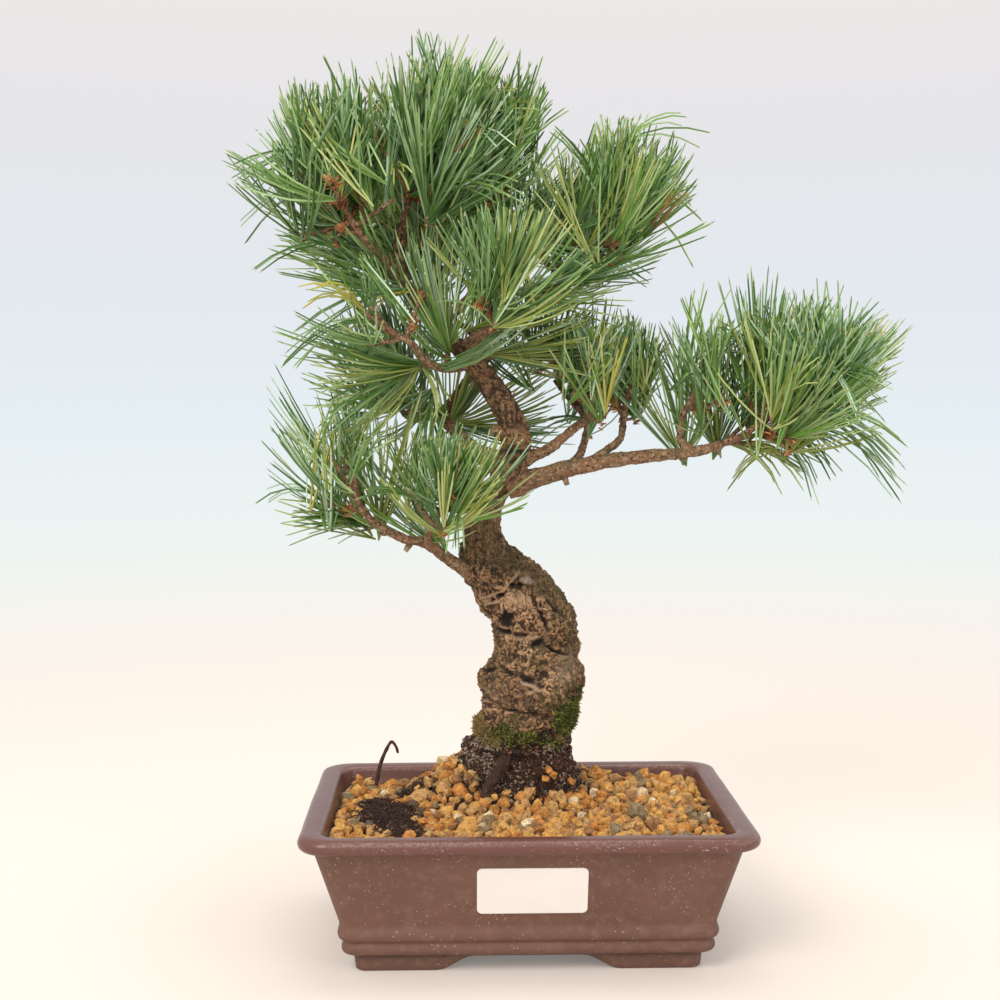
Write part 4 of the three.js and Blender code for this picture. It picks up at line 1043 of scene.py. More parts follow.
class BONSAI_OT_root_mound(bpy.types.Operator):
    """Make the dark mound of roots and peat, with its crumbs, fine roots and bent root"""

    bl_idname = "bonsai.root_mound"
    bl_label = "Root mound"

    def execute(self, context):
        random = np.random.default_rng(context.scene.bonsai_bark.seed)
        share, angle = np.meshgrid(np.linspace(0, 1.02, 90), round_angles(220), indexing="ij")
        rows = mound_place(share, angle)
        first, second = cells(rows / 5.5, 21)
        rough = 1.5 * layered(rows / 11, 4) + 1.0 * layered(rows / 3, 5) + 1.1 * ease(second - first, 0, 0.5)
        rows, normals = raised(rows, rough + 0.5 * noise(rows / 1.1, 8) - 0.4)
        peat = peat_finish("peat", (0.062, 0.026, 0.015), (0.42, 0.33, 0.25))
        mound = show("root_mound_peat", *wrapped(rows), [peat])
        # Crumbs
        pick = random.integers(0, rows.shape[0] * rows.shape[1], CRUMBS["mound"])
        on_mound = rows.reshape(-1, 3)[pick] + normals.reshape(-1, 3)[pick] * 0.2
        on_mound = on_mound[on_mound[:, 2] > 52]
        spots = spots_on_peat(random, CRUMBS["peat"], 0.02)
        on_patch = np.column_stack([spots, peat_height(*spots.T) + random.uniform(-0.3, 0.9, len(spots))])
        count = CRUMBS["around"]
        around = mound_place(random.uniform(0.2, 0.5, count), random.uniform(0, FULL_TURN, count), 2.5)
        around[:, 2] = soil_height(around[:, 0], around[:, 1]) - 0.3
        turn = random.uniform(0, FULL_TURN, CRUMBS["trunk"])
        height = MOUND["top"] + random.exponential(2.2, CRUMBS["trunk"])
        middle, half_width, half_depth = trunk_at(height)
        out = np.stack([half_width * np.cos(turn), half_depth * np.sin(turn), 0 * turn], -1)
        on_foot = middle + out * 1.02
        count = CRUMBS["top"]
        on_top = mound_place(np.full(count, 0.99), random.uniform(0, FULL_TURN, count))
        reach = random.uniform(0.72, 1.03, (count, 1))
        middle = np.array([MOUND["x"], MOUND["y"], 0])
        on_top = middle + (on_top - middle) * np.concatenate([reach, reach, np.ones_like(reach)], 1)
        on_top[:, 2] += random.uniform(-0.8, 0.9, count)
        places = np.concatenate([on_mound, on_patch, around, on_foot, on_top])
        sizes = random.lognormal(-0.80, 0.38, len(places))
        points, faces = stones(random, places, sizes, octahedron(), False)
        finishes = [gravel_finish(name, colour) for name, colour, _ in CRUMB_COLOURS]
        of_crumb = random.choice(len(CRUMB_COLOURS), len(places), p=[share for *_, share in CRUMB_COLOURS])
        clump = layered(places / 5.5, 25, 3) > 0.14
        of_crumb = np.where(clump & (random.random(len(places)) < 0.58), PALE_CRUMB, of_crumb)
        crumbs = show("peat_crumbs", points, faces, finishes, np.repeat(of_crumb, 8), smooth=False)
        # Fine roots on the bare peat and down the mound's side, the bent root and the stub
        spots = spots_on_peat(random, BARE_ROOTS, 0.08)
        lengths = random.uniform(6, 15, len(spots))
        roots = [hair_roots(random, spots, lengths, random.uniform(0.14, 0.30, len(spots)))]
        high = random.uniform(0.35, 0.95, SIDE_ROOTS)
        on_side = mound_place(high, random.uniform(0, FULL_TURN, SIDE_ROOTS), 0.9)
        turn = np.arctan2(on_side[:, 1] - MOUND["y"], on_side[:, 0] - MOUND["x"])
        down = unit(mound_place(np.zeros(SIDE_ROOTS), turn) - on_side)
        share = np.linspace(0, 1, 7)[None, :, None]
        drift = random.normal(0, 0.35, (SIDE_ROOTS, 1, 3)) * share**1.5
        lengths = random.uniform(5, 12, (SIDE_ROOTS, 1, 1))
        paths = on_side[:, None] + (down[:, None] + drift) * share * lengths
        roots.append(tubes(paths, random.uniform(0.15, 0.4, (SIDE_ROOTS, 1)) * (1 - 0.5 * share[..., 0]), 5))
        share = np.linspace(0, 1, 40)
        loop = curve_points(LOOP_ROOT, share)
        roots.append(tubes(loop[None], (0.95 - 0.35 * share)[None] + 0.12 * noise(loop[None] * 0.9, 6), 9))
        stub = curve_points(STUB, share)
        swell = 2.2 + 0.3 * share + 1.3 * layered(stub / 3.0, 12, 3)
        roots.append(rough_tube(stub, swell, 24, lambda ring: 1.3 * layered(ring / (1.2, 1.2, 2.0), 14, 4)))
        fine = show("fine_roots", *joined(roots), [root_finish()])
        for piece in (mound, crumbs, fine):
            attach(piece, "root")
        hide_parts("root_mound")
        return {"FINISHED"}


# Trunk and boughs


def smooth_row(column, at):
    """A column of the trunk's table between its rows, as a cubic through the rows with their mean slopes."""
    z, value = TRUNK[:, 0], TRUNK[:, column]
    last = len(z) - 1
    after, before = np.minimum(np.arange(last + 1) + 1, last), np.maximum(np.arange(last + 1) - 1, 0)
    slope = (value[after] - value[before]) / (z[after] - z[before])
    i = np.clip(np.searchsorted(z, at, side="right") - 1, 0, last - 1)
    gap = z[i + 1] - z[i]
    s = np.clip((at - z[i]) / gap, 0, 1)
    return (
        value[i] * (1 + 2 * s) * (1 - s) ** 2
        + value[i + 1] * s * s * (3 - 2 * s)
        + gap * slope[i] * s * (1 - s) ** 2
        + gap * slope[i + 1] * s * s * (s - 1)
    )


def trunk_at(z):
    """Middle, half width and half depth of the trunk's level section at a height."""
    lean = (smooth_row(1, z + 1) - smooth_row(1, z - 1)) / 2
    half_width = smooth_row(3, z)
    return np.stack([smooth_row(1, z), smooth_row(2, z), z], -1), half_width, half_width / np.hypot(1, lean)


def curve_points(ends, share):
    """A centripetal spline through points, at shares of its knots: each span is the cubic whose end slopes
    come from steps weighted by the square root of the distance between the points."""
    ends = np.asarray(ends, float)
    padded = np.concatenate([[2 * ends[0] - ends[1]], ends, [2 * ends[-1] - ends[-2]]])
    at = np.clip(np.asarray(share) * (len(ends) - 1), 0, len(ends) - 1)
    i = np.minimum(at.astype(int), len(ends) - 2)
    s = (at - i)[:, None]
    p0, p1, p2, p3 = (padded[i + k] for k in range(4))
    step = lambda a, b: np.sqrt(np.linalg.norm(b - a, axis=-1, keepdims=True))
    d0, d1, d2 = step(p0, p1), step(p1, p2), step(p2, p3)
    t1 = ((p1 - p0) / d0 - (p2 - p0) / (d0 + d1) + (p2 - p1) / d1) * d1
    t2 = ((p2 - p1) / d1 - (p3 - p1) / (d1 + d2) + (p3 - p2) / d2) * d1
    return p1 + t1 * s + (3 * (p2 - p1) - 2 * t1 - t2) * s**2 + (2 * (p1 - p2) + t1 + t2) * s**3


def even_points(ends, count):
    """The same spline at even distances along it, and its length."""
    dense = curve_points(ends, np.linspace(0, 1, 400))
    reach = np.concatenate([[0], np.cumsum(np.linalg.norm(np.diff(dense, axis=0), axis=-1))])
    at = np.interp(np.linspace(0, reach[-1], count), reach, np.linspace(0, 1, 400))
    return curve_points(ends, at), reach[-1]


BOUGH_ENDS = {name: ends for name, _, _, ends in BOUGHS}
BOUGH_RADII = {name: radii for name, _, radii, _ in BOUGHS}


def limb_tip(name):
    """Where a limb ends and which way it points there."""
    if name == "trunk":
        return trunk_at(np.array([TRUNK_TIP]))[0][0], np.array([0.0, 0, 1])
    near, end = curve_points(BOUGH_ENDS[name], np.array([1 - 1e-4, 1]))
    return end, unit(end - near)


def limb_beads():
    """Balls inside every limb, for keeping twigs and needles off the bark."""
    z = np.arange(TRUNK[0, 0], TRUNK_TIP + 0.1, 2.0)
    middle, half_width, _ = trunk_at(z)
    places, radii = [middle], [half_width]
    for name, (first, last) in BOUGH_RADII.items():
        count = int(math.ceil(even_points(BOUGH_ENDS[name], 2)[1] / 2)) + 1
        places.append(even_points(BOUGH_ENDS[name], count)[0])
        radii.append(np.linspace(first, last, count))
    return np.concatenate(places), np.concatenate(radii)


BEAD_PLACES, BEAD_RADII = limb_beads()

# Marks on the rootstock's front: x, z, half length, half width, turn in degrees, height, and how dark, pale
# and red they are
# The sunk marks are dark: painted shade in their pits, over the bark's own dark cracks
MARKS = [
    (-5.2, 154.4, 1.5, 1.3, 0, -3.0, 1.0, 0, 0),
    (-1.6, 155.0, 1.3, 1.2, 0, -3.0, 1.0, 0, 0.5),
    (-10.2, 150.6, 1.8, 1.0, 10, -2.4, 1.0, 0, 0),
    (-13.8, 148.9, 0.9, 0.7, 0, -1.4, 0.9, 0, 0),
    (1.2, 157.6, 3.3, 1.6, -14, 0.5, 0, 1.0, 0),
    (-3.0, 149.0, 6.5, 4.0, -10, 0.3, 0, 0.3, 0),
    (-4.0, 221.0, 7.0, 5.0, 0, 1.6, 0, 0, 0),
    (-4.0, 214.6, 6.5, 1.0, -8, -1.6, 0.7, 0, 0),
    (-4.0, 210.4, 6.0, 0.9, 8, -1.2, 0.6, 0, 0),
    (-9.0, 176.5, 5.0, 0.9, -12, -1.3, 0.6, 0, 0),
    (-2.6, 172.0, 2.6, 3.0, 0, 1.2, 0, 0, 0),
    (-14.4, 150.4, 4.8, 0.5, 24, 1.0, 0, 0.8, 0),
    (-7.4, 155.0, 3.6, 0.5, 50, 1.2, 0, 0.9, 0),
    (-4.0, 159.4, 2.6, 0.8, 62, 1.2, 0, 0.7, 0),
    (-13.6, 147.0, 3.6, 0.5, 14, 0.8, 0, 0.6, 0),
    (-10.4, 143.6, 0.5, 3.6, 6, 0.8, 0, 0.7, 0),
    (3.4, 166.4, 5.4, 2.0, -34, 1.6, 0.2, 0.1, 0),
    (5.2, 169.2, 5.0, 0.7, -32, -1.2, 0.8, 0, 0),
    (-8.6, 139.0, 2.8, 3.4, -30, -3.4, 1.0, 0, 0.4),
    (-6.0, 139.8, 1.6, 2.4, -30, -1.0, 0.2, 0, 1.0),
    (8.2, 141.0, 7.5, 1.1, -62, -2.0, 0.85, 0, 0.7),
    (13.0, 146.0, 7.0, 0.8, -48, -1.4, 0.7, 0, 0),
    (6.8, 129.6, 3.6, 1.8, 18, -3.8, 1.0, 0, 0),
    (12.2, 126.6, 3.4, 0.9, -38, -2.2, 0.9, 0, 0),
    (17.4, 124.2, 4.6, 0.9, -14, -2.0, 0.85, 0, 0),
    (-9.4, 133.8, 5.0, 1.5, -4, -2.8, 0.9, 0, 0),
    (-1.4, 133.4, 4.4, 0.9, 4, -1.4, 0.5, 0, 0.2),
    (1.4, 131.6, 6.0, 1.2, 3, 1.1, 0, 0.35, 0),
    (-6.0, 105.6, 12, 8.5, 0, 1.8, 0, 0.1, 0),
    (19.0, 118.0, 7.5, 8.0, 0, 1.3, 0, 0.22, 0.3),
    (-14.6, 115.6, 4.6, 1.0, 22, -2.0, 0.9, 0, 0),
    (-7.4, 117.2, 3.4, 0.9, -30, -1.8, 0.8, 0, 0),
    (1.0, 114.6, 4.6, 1.5, -32, -2.4, 0.85, 0, 0.8),
    (5.8, 115.4, 4.4, 1.6, 24, -1.8, 0.5, 0, 1.0),
    (2.2, 111.6, 4.2, 0.9, -28, 1.6, 0, 0.85, 0),
    (5.4, 109.0, 4.6, 0.8, 12, 1.2, 0, 0.6, 0),
    (9.0, 121.6, 1.8, 0.8, 50, -1.2, 0.6, 0.2, 0),
    (0.0, 98.6, 14, 0.9, -6, -1.2, 0.6, 0, 0),
    (-14.0, 124.0, 5.0, 0.9, 64, -1.4, 0.7, 0, 0),
    (-20.0, 107.0, 4.0, 0.8, 70, -1.2, 0.6, 0, 0),
]
# Moss on the rootstock and mound: x, y, z, reach along x, y and z, how brown it is
MOSS = [
    (19.5, 10, 95.5, 8.0, 13, 9.0, 0.10),
    (22.5, 20, 104.0, 3.5, 9, 7.0, 0.30),
    (4.0, 1.0, 85.0, 15, 6, 5.0, 0.25),
    (-11.0, 4, 87.5, 9, 7, 4.2, 0.30),
    (15.0, 3.0, 83.0, 8, 6, 4.4, 0.25),
    (-19.5, 14, 89.5, 5, 8, 5.5, 1.0),
    (-12.0, 8, 84.0, 7, 6, 3.0, 0.7),
    (-8.0, 46, 90.0, 12, 6, 6.0, 0.2),
    (16.0, 42, 88.0, 9, 7, 5.0, 0.4),
]
MOSS_BELOW = 125
# Colours of moss: three greens, whose shares follow, and brown
MOSS_COLOURS = [(0.090, 0.130, 0.015), (0.034, 0.054, 0.009), (0.230, 0.245, 0.030), (0.300, 0.200, 0.075)]
MOSS_SHARES = [0.36, 0.44, 0.20]


def creased(points, seed, octaves=3):
    """Rounded swellings with sharp creases: the size of noise, which is 0 along winding lines."""
    total = sum(np.abs(noise(points * 2**k, seed + k)) / 2**k for k in range(octaves))
    return total / (2 - 2 ** (1 - octaves)) * 2


def smoothed(heights, steps):
    """The mean of each place and its neighbours up to so many steps away, round the limb and along it."""
    for axis, mode in ((0, "edge"), (1, "wrap")):
        pad = [(0, 0), (0, 0)]
        pad[axis] = (steps + 1, steps)
        total = np.cumsum(np.pad(heights, pad, mode=mode), axis=axis)
        width = 2 * steps + 1
        ahead = np.take(total, range(width, total.shape[axis]), axis)
        behind = np.take(total, range(heights.shape[axis]), axis)
        heights = (ahead - behind) / width
    return heights


def rootstock_relief(rows, depth):
    """Heights and colour masks of the gnarled trunk: broad swellings, then flakes, long and thin, on places
    that a broad noise bends into swirls, with cracks between them, and the marks on the front as bells
    exp(-(a / length)^2 - (b / width)^2)."""
    x, y, z = (rows[..., k] for k in range(3))
    old = ease(z, 198, 168)
    middle, half_width, half_depth = trunk_at(z)
    front = ease(-(y - middle[..., 1]) / half_depth, -0.1, 0.35)
    warp = np.stack([layered(rows / 9, s, 3) for s in (31, 32, 33)], -1)
    swirl = rows + 11.0 * np.stack([layered(rows / 24, s, 2) for s in (51, 52, 53)], -1) + 2.2 * warp
    ragged = noise(rows / 1.1, 35)
    folds = creased((rows + 6.0 * warp) / np.array([9.0, 9.0, 7.0]), 41, 3)
    level = creased(swirl / np.array([3.8, 3.8, 1.25]), 47, 3)
    upright = creased(swirl / np.array([1.3, 1.3, 3.8]), 48, 3)
    steep = ease(layered(rows / 13, 49, 2) + 0.35 * ease(z, 118, 140) - 0.15, -0.08, 0.08)
    flakes = level * (1 - steep) + upright * steep
    fine = creased((rows + 1.5 * warp) / 1.5, 55, 2)
    patchy = 0.3 + 0.4 * ease(layered(rows / 6, 57, 2), -0.3, 0.3)
    # Light patches, from broad noise and two bells on the rootstock's front: there the ridges get the
    # brightest painted highlights
    bell = np.exp(-(((x + 2) / 14) ** 2) - ((z - 147) / 11) ** 2)
    bell = bell + 0.8 * np.exp(-(((x - 14) / 10) ** 2) - ((z - 118) / 10) ** 2)
    light = ease(layered(rows / 7, 97, 3) + 0.55 * bell, 0.10, 0.55)
    # Painted shade: more olive towards the trunk's right side, besides the lichen's own patches
    shaded = 0.35 * ease(x - middle[..., 0], 2, 14)
    olive = ease(layered(rows / 8, 98, 3) + shaded - 0.35 * bell, -0.10, 0.25)
    rough = 0.9 * (folds - 0.55) + patchy * (flakes - 0.5) + 0.35 * (fine - 0.5) + 0.12 * ragged
    height = old * (1.1 * layered(rows / 15, 61, 3) + depth * rough)
    # Painted shade: dark along the creases of the folds and flakes, the hollows of the relief, over the
    # bark's own dark cracks
    dark = old * np.maximum(0.75 * ease(folds, 0.12, 0.02), 0.8 * patchy * ease(flakes, 0.20, 0.04))
    pale, red = np.zeros_like(x), 0.6 * old * ease(layered(rows / 8, 71, 3), 0.10, 0.45)
    scar = np.zeros_like(x)
    for mark_x, mark_z, length, width, turn, lift, mark_dark, mark_pale, mark_red in MARKS:
        cos, sin = math.cos(math.radians(turn)), math.sin(math.radians(turn))
        dx = x - mark_x + 0.7 * warp[..., 0] + 0.2 * ragged
        dz = z - mark_z + 0.7 * warp[..., 1] + 0.2 * ragged
        along, aside = dx * cos + dz * sin, dz * cos - dx * sin
        bell = front * np.exp(-((along / length) ** 2) - (aside / width) ** 2)
        mask = ease(bell, 0.30, 0.62)
        height = height + lift * bell
        # Sunk marks: painted shade in their pits
        dark = np.maximum(dark * (1 - 0.7 * mark_pale * mask), mark_dark * ease(bell, 0.25, 0.7))
        pale = np.maximum(pale, mark_pale * mask)
        scar = np.maximum(scar, mask * (mark_pale >= 1))
        red = np.maximum(red, mark_red * mask)
    # Young bark above: low bumps, ridges across the limb and small dark pores
    pore_first, _ = cells(rows / np.array([3.4, 3.4, 2.4]), 81)
    pores = ease(pore_first, 0.34, 0.18)
    bumps = creased((rows + warp) / 2.3, 93, 2)
    ridges = 0.24 * noise(rows / (3.0, 3.0, 0.9), 92)
    young = 0.5 * layered(rows / 7, 91, 3) + 0.45 * (bumps - 0.5) + ridges - 0.15 * pores
    height = height + (1 - old) * young
    # Painted shade in the creases between the young bumps, besides the pores' own dark colour
    dark = dark + (1 - old) * (0.8 * pores + 0.4 * ease(bumps, 0.16, 0.04))
    # This mask holds the bark's own flakes and wear plus painted light: its last term, the height above the
    # mean of the neighbours, paints highlights on the ridges and shade in the hollows
    wear_and_painted_light = old * (0.36 + 0.24 * light + 1.1 * patchy * (flakes - 0.5) + 0.7 * (fine - 0.5) + 0.25 * ragged)
    wear_and_painted_light = wear_and_painted_light + (1 - old) * (0.44 + 0.45 * (bumps - 0.5)) + 0.45 * (height - smoothed(height, 7)) / depth
    masks = {"dark": dark, "pale": pale, "scar": scar, "red": red, "wear_and_painted_light": np.clip(wear_and_painted_light, 0, 1)}
    masks.update({"young": 1 - old, "light": light * old, "olive": olive * old})
    return height, masks


def moss_amount(points):
    """How mossy a place is: the largest bell of the moss list there, broken up by noise."""
    total, brown = np.zeros(points.shape[:-1]), np.zeros(points.shape[:-1])
    for x, y, z, reach_x, reach_y, reach_z, tan in MOSS:
        off = (points - np.array([x, y, z])) / np.array([reach_x, reach_y, reach_z])
        bell = np.exp(-np.sum(off**2, -1))
        brown = np.where(bell > total, tan, brown)
        total = np.maximum(total, bell)
    broken = ease(total + 0.45 * layered(points / 3.2, 63, 3), 0.38, 0.72)
    return broken, brown


def bark_finish():
    """Old bark: brown hollows darkened by painted shade, tan ridges with painted highlights, lichen with
    painted shade towards the right side, dark cracks with painted shade, pale dead wood, red inner bark,
    moss.
    """
    bark = Finish("bark", (0.200, 0.102, 0.045), 0.9)
    value, grain = bark.value, bark.grain
    bark.tint((0.110, 0.060, 0.029), grain(75, 4, 0.46, 0.60))
    bark.tint((0.210, 0.078, 0.038), value("red"), 0.75)
    bark.tint((0.205, 0.100, 0.047), value("young", 0.2, 0.9))
    bark.tint((0.110, 0.066, 0.030), value("young"), grain(90, 4, 0.48, 0.60))
    # The next layers follow the mask of wear and painted light: painted shade near black in the hollows, tan
    # wear with painted highlights on the ridges, and pale specks
    bark.tint((0.036, 0.020, 0.011), value("wear_and_painted_light", 0.46, 0.20), 0.90)
    bark.tint((0.430, 0.236, 0.104), value("wear_and_painted_light", 0.46, 0.70), 0.70)
    # Painted highlights: the brightest tan on the ridges inside the light patches
    bark.tint((0.790, 0.480, 0.265), value("wear_and_painted_light", 0.50, 0.76), value("light"), 0.9)
    bark.tint((0.560, 0.330, 0.165), grain(800, 6, 0.50, 0.57, 0.75), value("wear_and_painted_light", 0.2, 0.6), 0.75)
    bark.tint((0.145, 0.116, 0.038), value("olive"), grain(330, 5, 0.44, 0.58, 0.7))
    bark.tint((0.155, 0.100, 0.037), value("neck"), 0.60)
    bark.tint((0.320, 0.205, 0.105), value("neck"), grain(420, 5, 0.50, 0.56, 0.75), 0.8)
    bark.tint((0.028, 0.015, 0.009), grain(950, 6, 0.52, 0.58, 0.75), 0.88)
    bark.tint((0.045, 0.024, 0.013), grain(380, 6, 0.54, 0.60, 0.75), 0.80)
    bark.tint((0.640, 0.470, 0.310), value("pale"), 0.85)
    bark.tint((0.370, 0.305, 0.295), value("scar"), grain(420, 6, 0.44, 0.56, 0.8))
    bark.tint((0.110, 0.075, 0.062), value("scar"), grain(800, 5, 0.50, 0.56, 0.75), 0.8)
    # Painted shade: near black in the creases and pits of the relief
    bark.tint((0.020, 0.012, 0.008), value("dark", 0.15, 0.90))
    bark.tint((0.030, 0.017, 0.011), value("soiled"), 0.92)
    bark.tint((0.060, 0.062, 0.015), value("moss"), 0.85)
    bark.relief(grain(520, 6, 0.2, 0.8, 0.7), 0.0009, 1.0)
    bark.relief(grain(1500, 4, 0.2, 0.8, 0.7), 0.0005, 0.9)
    return bark.material


def young_bumps(ring):
    """Heights of young bark: layered noise and creased swellings, less the pores."""
    pores, _ = cells(ring / (2.4, 2.4, 1.8), 83)
    bumps = 0.32 * layered(ring / 3, 19, 3) + 0.30 * (creased(ring / 1.6, 21, 2) - 0.5)
    return bumps - 0.15 * ease(pores, 0.34, 0.18) + 0.14 * noise(ring / 0.8, 23)


def young_finish(name, colour):
    """Young bark: brown with pale flecks, fine cracks, dark pores and faint green."""
    young = Finish(name, colour, 0.85)
    young.tint(darker(colour, 0.60), young.grain(140, 4, 0.44, 0.58))
    young.tint((0.150, 0.125, 0.055), young.grain(75, 3, 0.52, 0.62), 0.55)
    young.tint((0.400, 0.268, 0.158), young.grain(520, 5, 0.50, 0.58, 0.7), 0.85)
    young.tint(darker(colour, 0.22), young.grain(900, 5, 0.54, 0.60, 0.75), 0.85)
    young.tint(darker(colour, 0.18), young.dots(430, 0.16, 0.26))
    young.relief(young.grain(650, 5, 0.2, 0.8, 0.7), 0.0007, 0.9)
    young.relief(young.dots(430, 0.14, 0.26), 0.0003, 0.6)
    return young.material


class BONSAI_OT_bark(bpy.types.Operator):
    """Make the trunk with its bark's relief, the boughs and the moss"""

    bl_idname = "bonsai.bark"
    bl_label = "Bark"

    def execute(self, context):
        settings = context.scene.bonsai_bark
        random = np.random.default_rng(settings.seed)
        heights = np.concatenate([*(np.arange(*span) for span in BARK_RINGS), [TRUNK_TIP + 0.8]])
        angle = round_angles(TRUNK_AROUND)
        middle, half_width, half_depth = trunk_at(heights)
        gnarl = TRUNK_LUMP * np.clip((TRUNK_ROUND_ABOVE - heights) / TRUNK_BLEND, 0, 1)
        up = heights[:, None]
        ribs = sum(part * np.sin(count * angle + up / rise) for count, rise, part in TRUNK_RIBS)
        foot = (0.86 + 0.14 * ease(heights, 80, 84))[:, None]
        lump = (1 + gnarl[:, None] * np.abs(np.sin(angle)) * ribs) * foot
        rows = np.stack([
            middle[:, :1] + half_width[:, None] * lump * np.cos(angle),
            middle[:, 1:2] + half_depth[:, None] * lump * np.sin(angle),
            np.broadcast_to(up, (len(heights), TRUNK_AROUND)),
        ], -1)
        height, masks = rootstock_relief(rows, settings.plates / MM)
        rows, normals = raised(rows, height)
        masks["moss"] = moss_amount(rows)[0] * 0.9
        masks["soiled"] = ease(rows[..., 2] + 2.5 * layered(rows / 5, 57, 3), 88.5, 84)
        slant = rows[..., 2] + 0.45 * rows[..., 0]
        spread = ease(layered(rows / 6, 15, 2), -0.5, 0.2)
        masks["neck"] = ease(rows[..., 2], 206, 184) * ease(slant, 152, 160) * spread
        values = {
            name: np.concatenate([column.ravel(), column[[0, -1]].mean(1)]) for name, column in masks.items()
        }
        trunk = show("trunk_bark", *wrapped(rows), [bark_finish()], values=values)
        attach(trunk, "root")
        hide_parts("trunk")

        surfaces = []
        parent_radius = {"trunk": 7.0}
        parent_radius.update({name: 0.5 * sum(radii) for name, radii in BOUGH_RADII.items()})
        for name, parent, (first, last), ends in BOUGHS:
            length = even_points(ends, 2)[1]
            count = int(length / BOUGH_RING_PITCH)
            path, _ = even_points(ends, count)
            sway = 0.5 * np.stack([layered(path / 9, 200 + k, 2) for k in range(3)], -1)
            share = np.linspace(0, 1, count)[:, None]
            path = path + sway * ease(share, 0, 0.2) * ease(share[::-1], 0, 0.15)
            reach = np.linspace(0, length, count)
            collar = 0.38 * np.exp(-np.maximum(reach - parent_radius[parent], 0) / 3.5)
            radius = np.linspace(first, last, count) * (1 + collar + 0.13 * layered(path / 6, 17, 3))
            surfaces.append(rough_tube(path, radius, BOUGH_AROUND, young_bumps))
        for start, end, first, last in SNAGS:
            path, _ = even_points([start, np.mean([start, end], 0) + (0.2, -0.3, 0.2), end], 12)
            radius = np.linspace(first, last, 12) * (1 + 0.15 * noise(path / 1.5, 5))
            surfaces.append(rough_tube(path, radius, BOUGH_AROUND, young_bumps))
        boughs = show("boughs_bark", *joined(surfaces), [young_finish("young_bark", (0.262, 0.134, 0.064))])
        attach(boughs, "root")
        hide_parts(*BOUGH_ENDS)

        # Moss: tapering blades on the mossy parts of the rootstock and the mound's shoulder
        share, turn = np.meshgrid(np.linspace(0.8, 1.0, 30), round_angles(200), indexing="ij")
        shoulder = mound_place(share, turn, 1.0)
        outward = unit(np.stack([np.cos(turn), np.sin(turn), 0.5 + 0 * turn], -1))
        spots = np.concatenate([rows.reshape(-1, 3), shoulder.reshape(-1, 3)])
        facing = np.concatenate([normals.reshape(-1, 3), outward.reshape(-1, 3)])
        low = spots[:, 2] < MOSS_BELOW
        spots, facing = spots[low], facing[low]
        amount, brown = moss_amount(spots)
        pick = random.choice(len(spots), settings.moss, p=amount / amount.sum())
        heading = unit(facing[pick] * 0.9 + random.normal(0, 0.42, (len(pick), 3)) + np.array([0, 0, 0.25]))
        length = random.uniform(1.0, 3.0, len(pick))
        reach = heading * length[:, None]
        path = spots[pick][:, None] + reach[:, None] * np.array([-0.15, 0.5])[None, :, None]
        tip = spots[pick] + reach + random.normal(0, 0.25, (len(pick), 3))
        side = unit(np.cross(heading, random.normal(size=(len(pick), 3))))
        triangle = np.array([(0.30, 0.18), (-0.30, 0.18), (0, -0.36)])
        outline = np.broadcast_to(triangle * np.array([1.0, 0.8])[:, None, None], (len(pick), 2, 3, 2))
        across, upward = (np.repeat(way[:, None], 2, 1) for way in (side, np.cross(heading, side)))
        points, faces = sweep(path, across, upward, outline, np.stack([path[:, 0], tip], 1))
        tan = random.random(len(pick)) < brown[pick] * 0.9
        kind = np.where(tan, len(MOSS_SHARES), random.choice(len(MOSS_SHARES), len(pick), p=MOSS_SHARES))
        of_face = np.concatenate([np.repeat(kind, 3), np.repeat(kind, 6)])
        finishes = plain_finishes("moss", MOSS_COLOURS, 0.8)
        moss_piece = show("moss", points, faces, finishes, of_face, smooth=False)
        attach(moss_piece, "root")
        return {"FINISHED"}


# Needles


def leaning(axis, lean, turn):
    """A direction at a given lean from an axis and a given turn about it."""
    side, across = beside(axis)
    aside = math.sin(lean)
    return axis * math.cos(lean) + side * aside * math.cos(turn) + across * aside * math.sin(turn)


def depths(points):
    """For each mass, 0 in the middle of its space and 1 on its outline."""
    return np.linalg.norm((points[..., None, :] - MASS_MIDDLES) / MASS_REACHES, axis=-1)


def in_own_space(index, points, margin=SPACE_MARGIN, slack=SPACE_SLACK):
    """Whether points lie in a mass's space and nearer, by depth, to it than to any other."""
    depth = depths(points)
    own = depth[..., index]
    others = np.delete(depth, index, -1).min(-1)
    return (own < 1 + slack) & (others - own > margin)


def touches_limb(points, margin):
    """Whether points come nearer to a limb's bark than the margin."""
    gap = np.linalg.norm(points[..., None, :] - BEAD_PLACES, axis=-1)
    return (gap < BEAD_RADII + margin).any(-1)


def room_along(index, start, heading):
    """How far a ray from inside a space runs to the space's outline: the root of |from + t step| = 1."""
    origin = (start - MASS_MIDDLES[index]) / MASS_REACHES[index]
    step = heading / MASS_REACHES[index]
    a, b, c = step @ step, origin @ step, origin @ origin - 1
    root = b * b - a * c
    return (-b + math.sqrt(root)) / a if root > 0 else 0.0


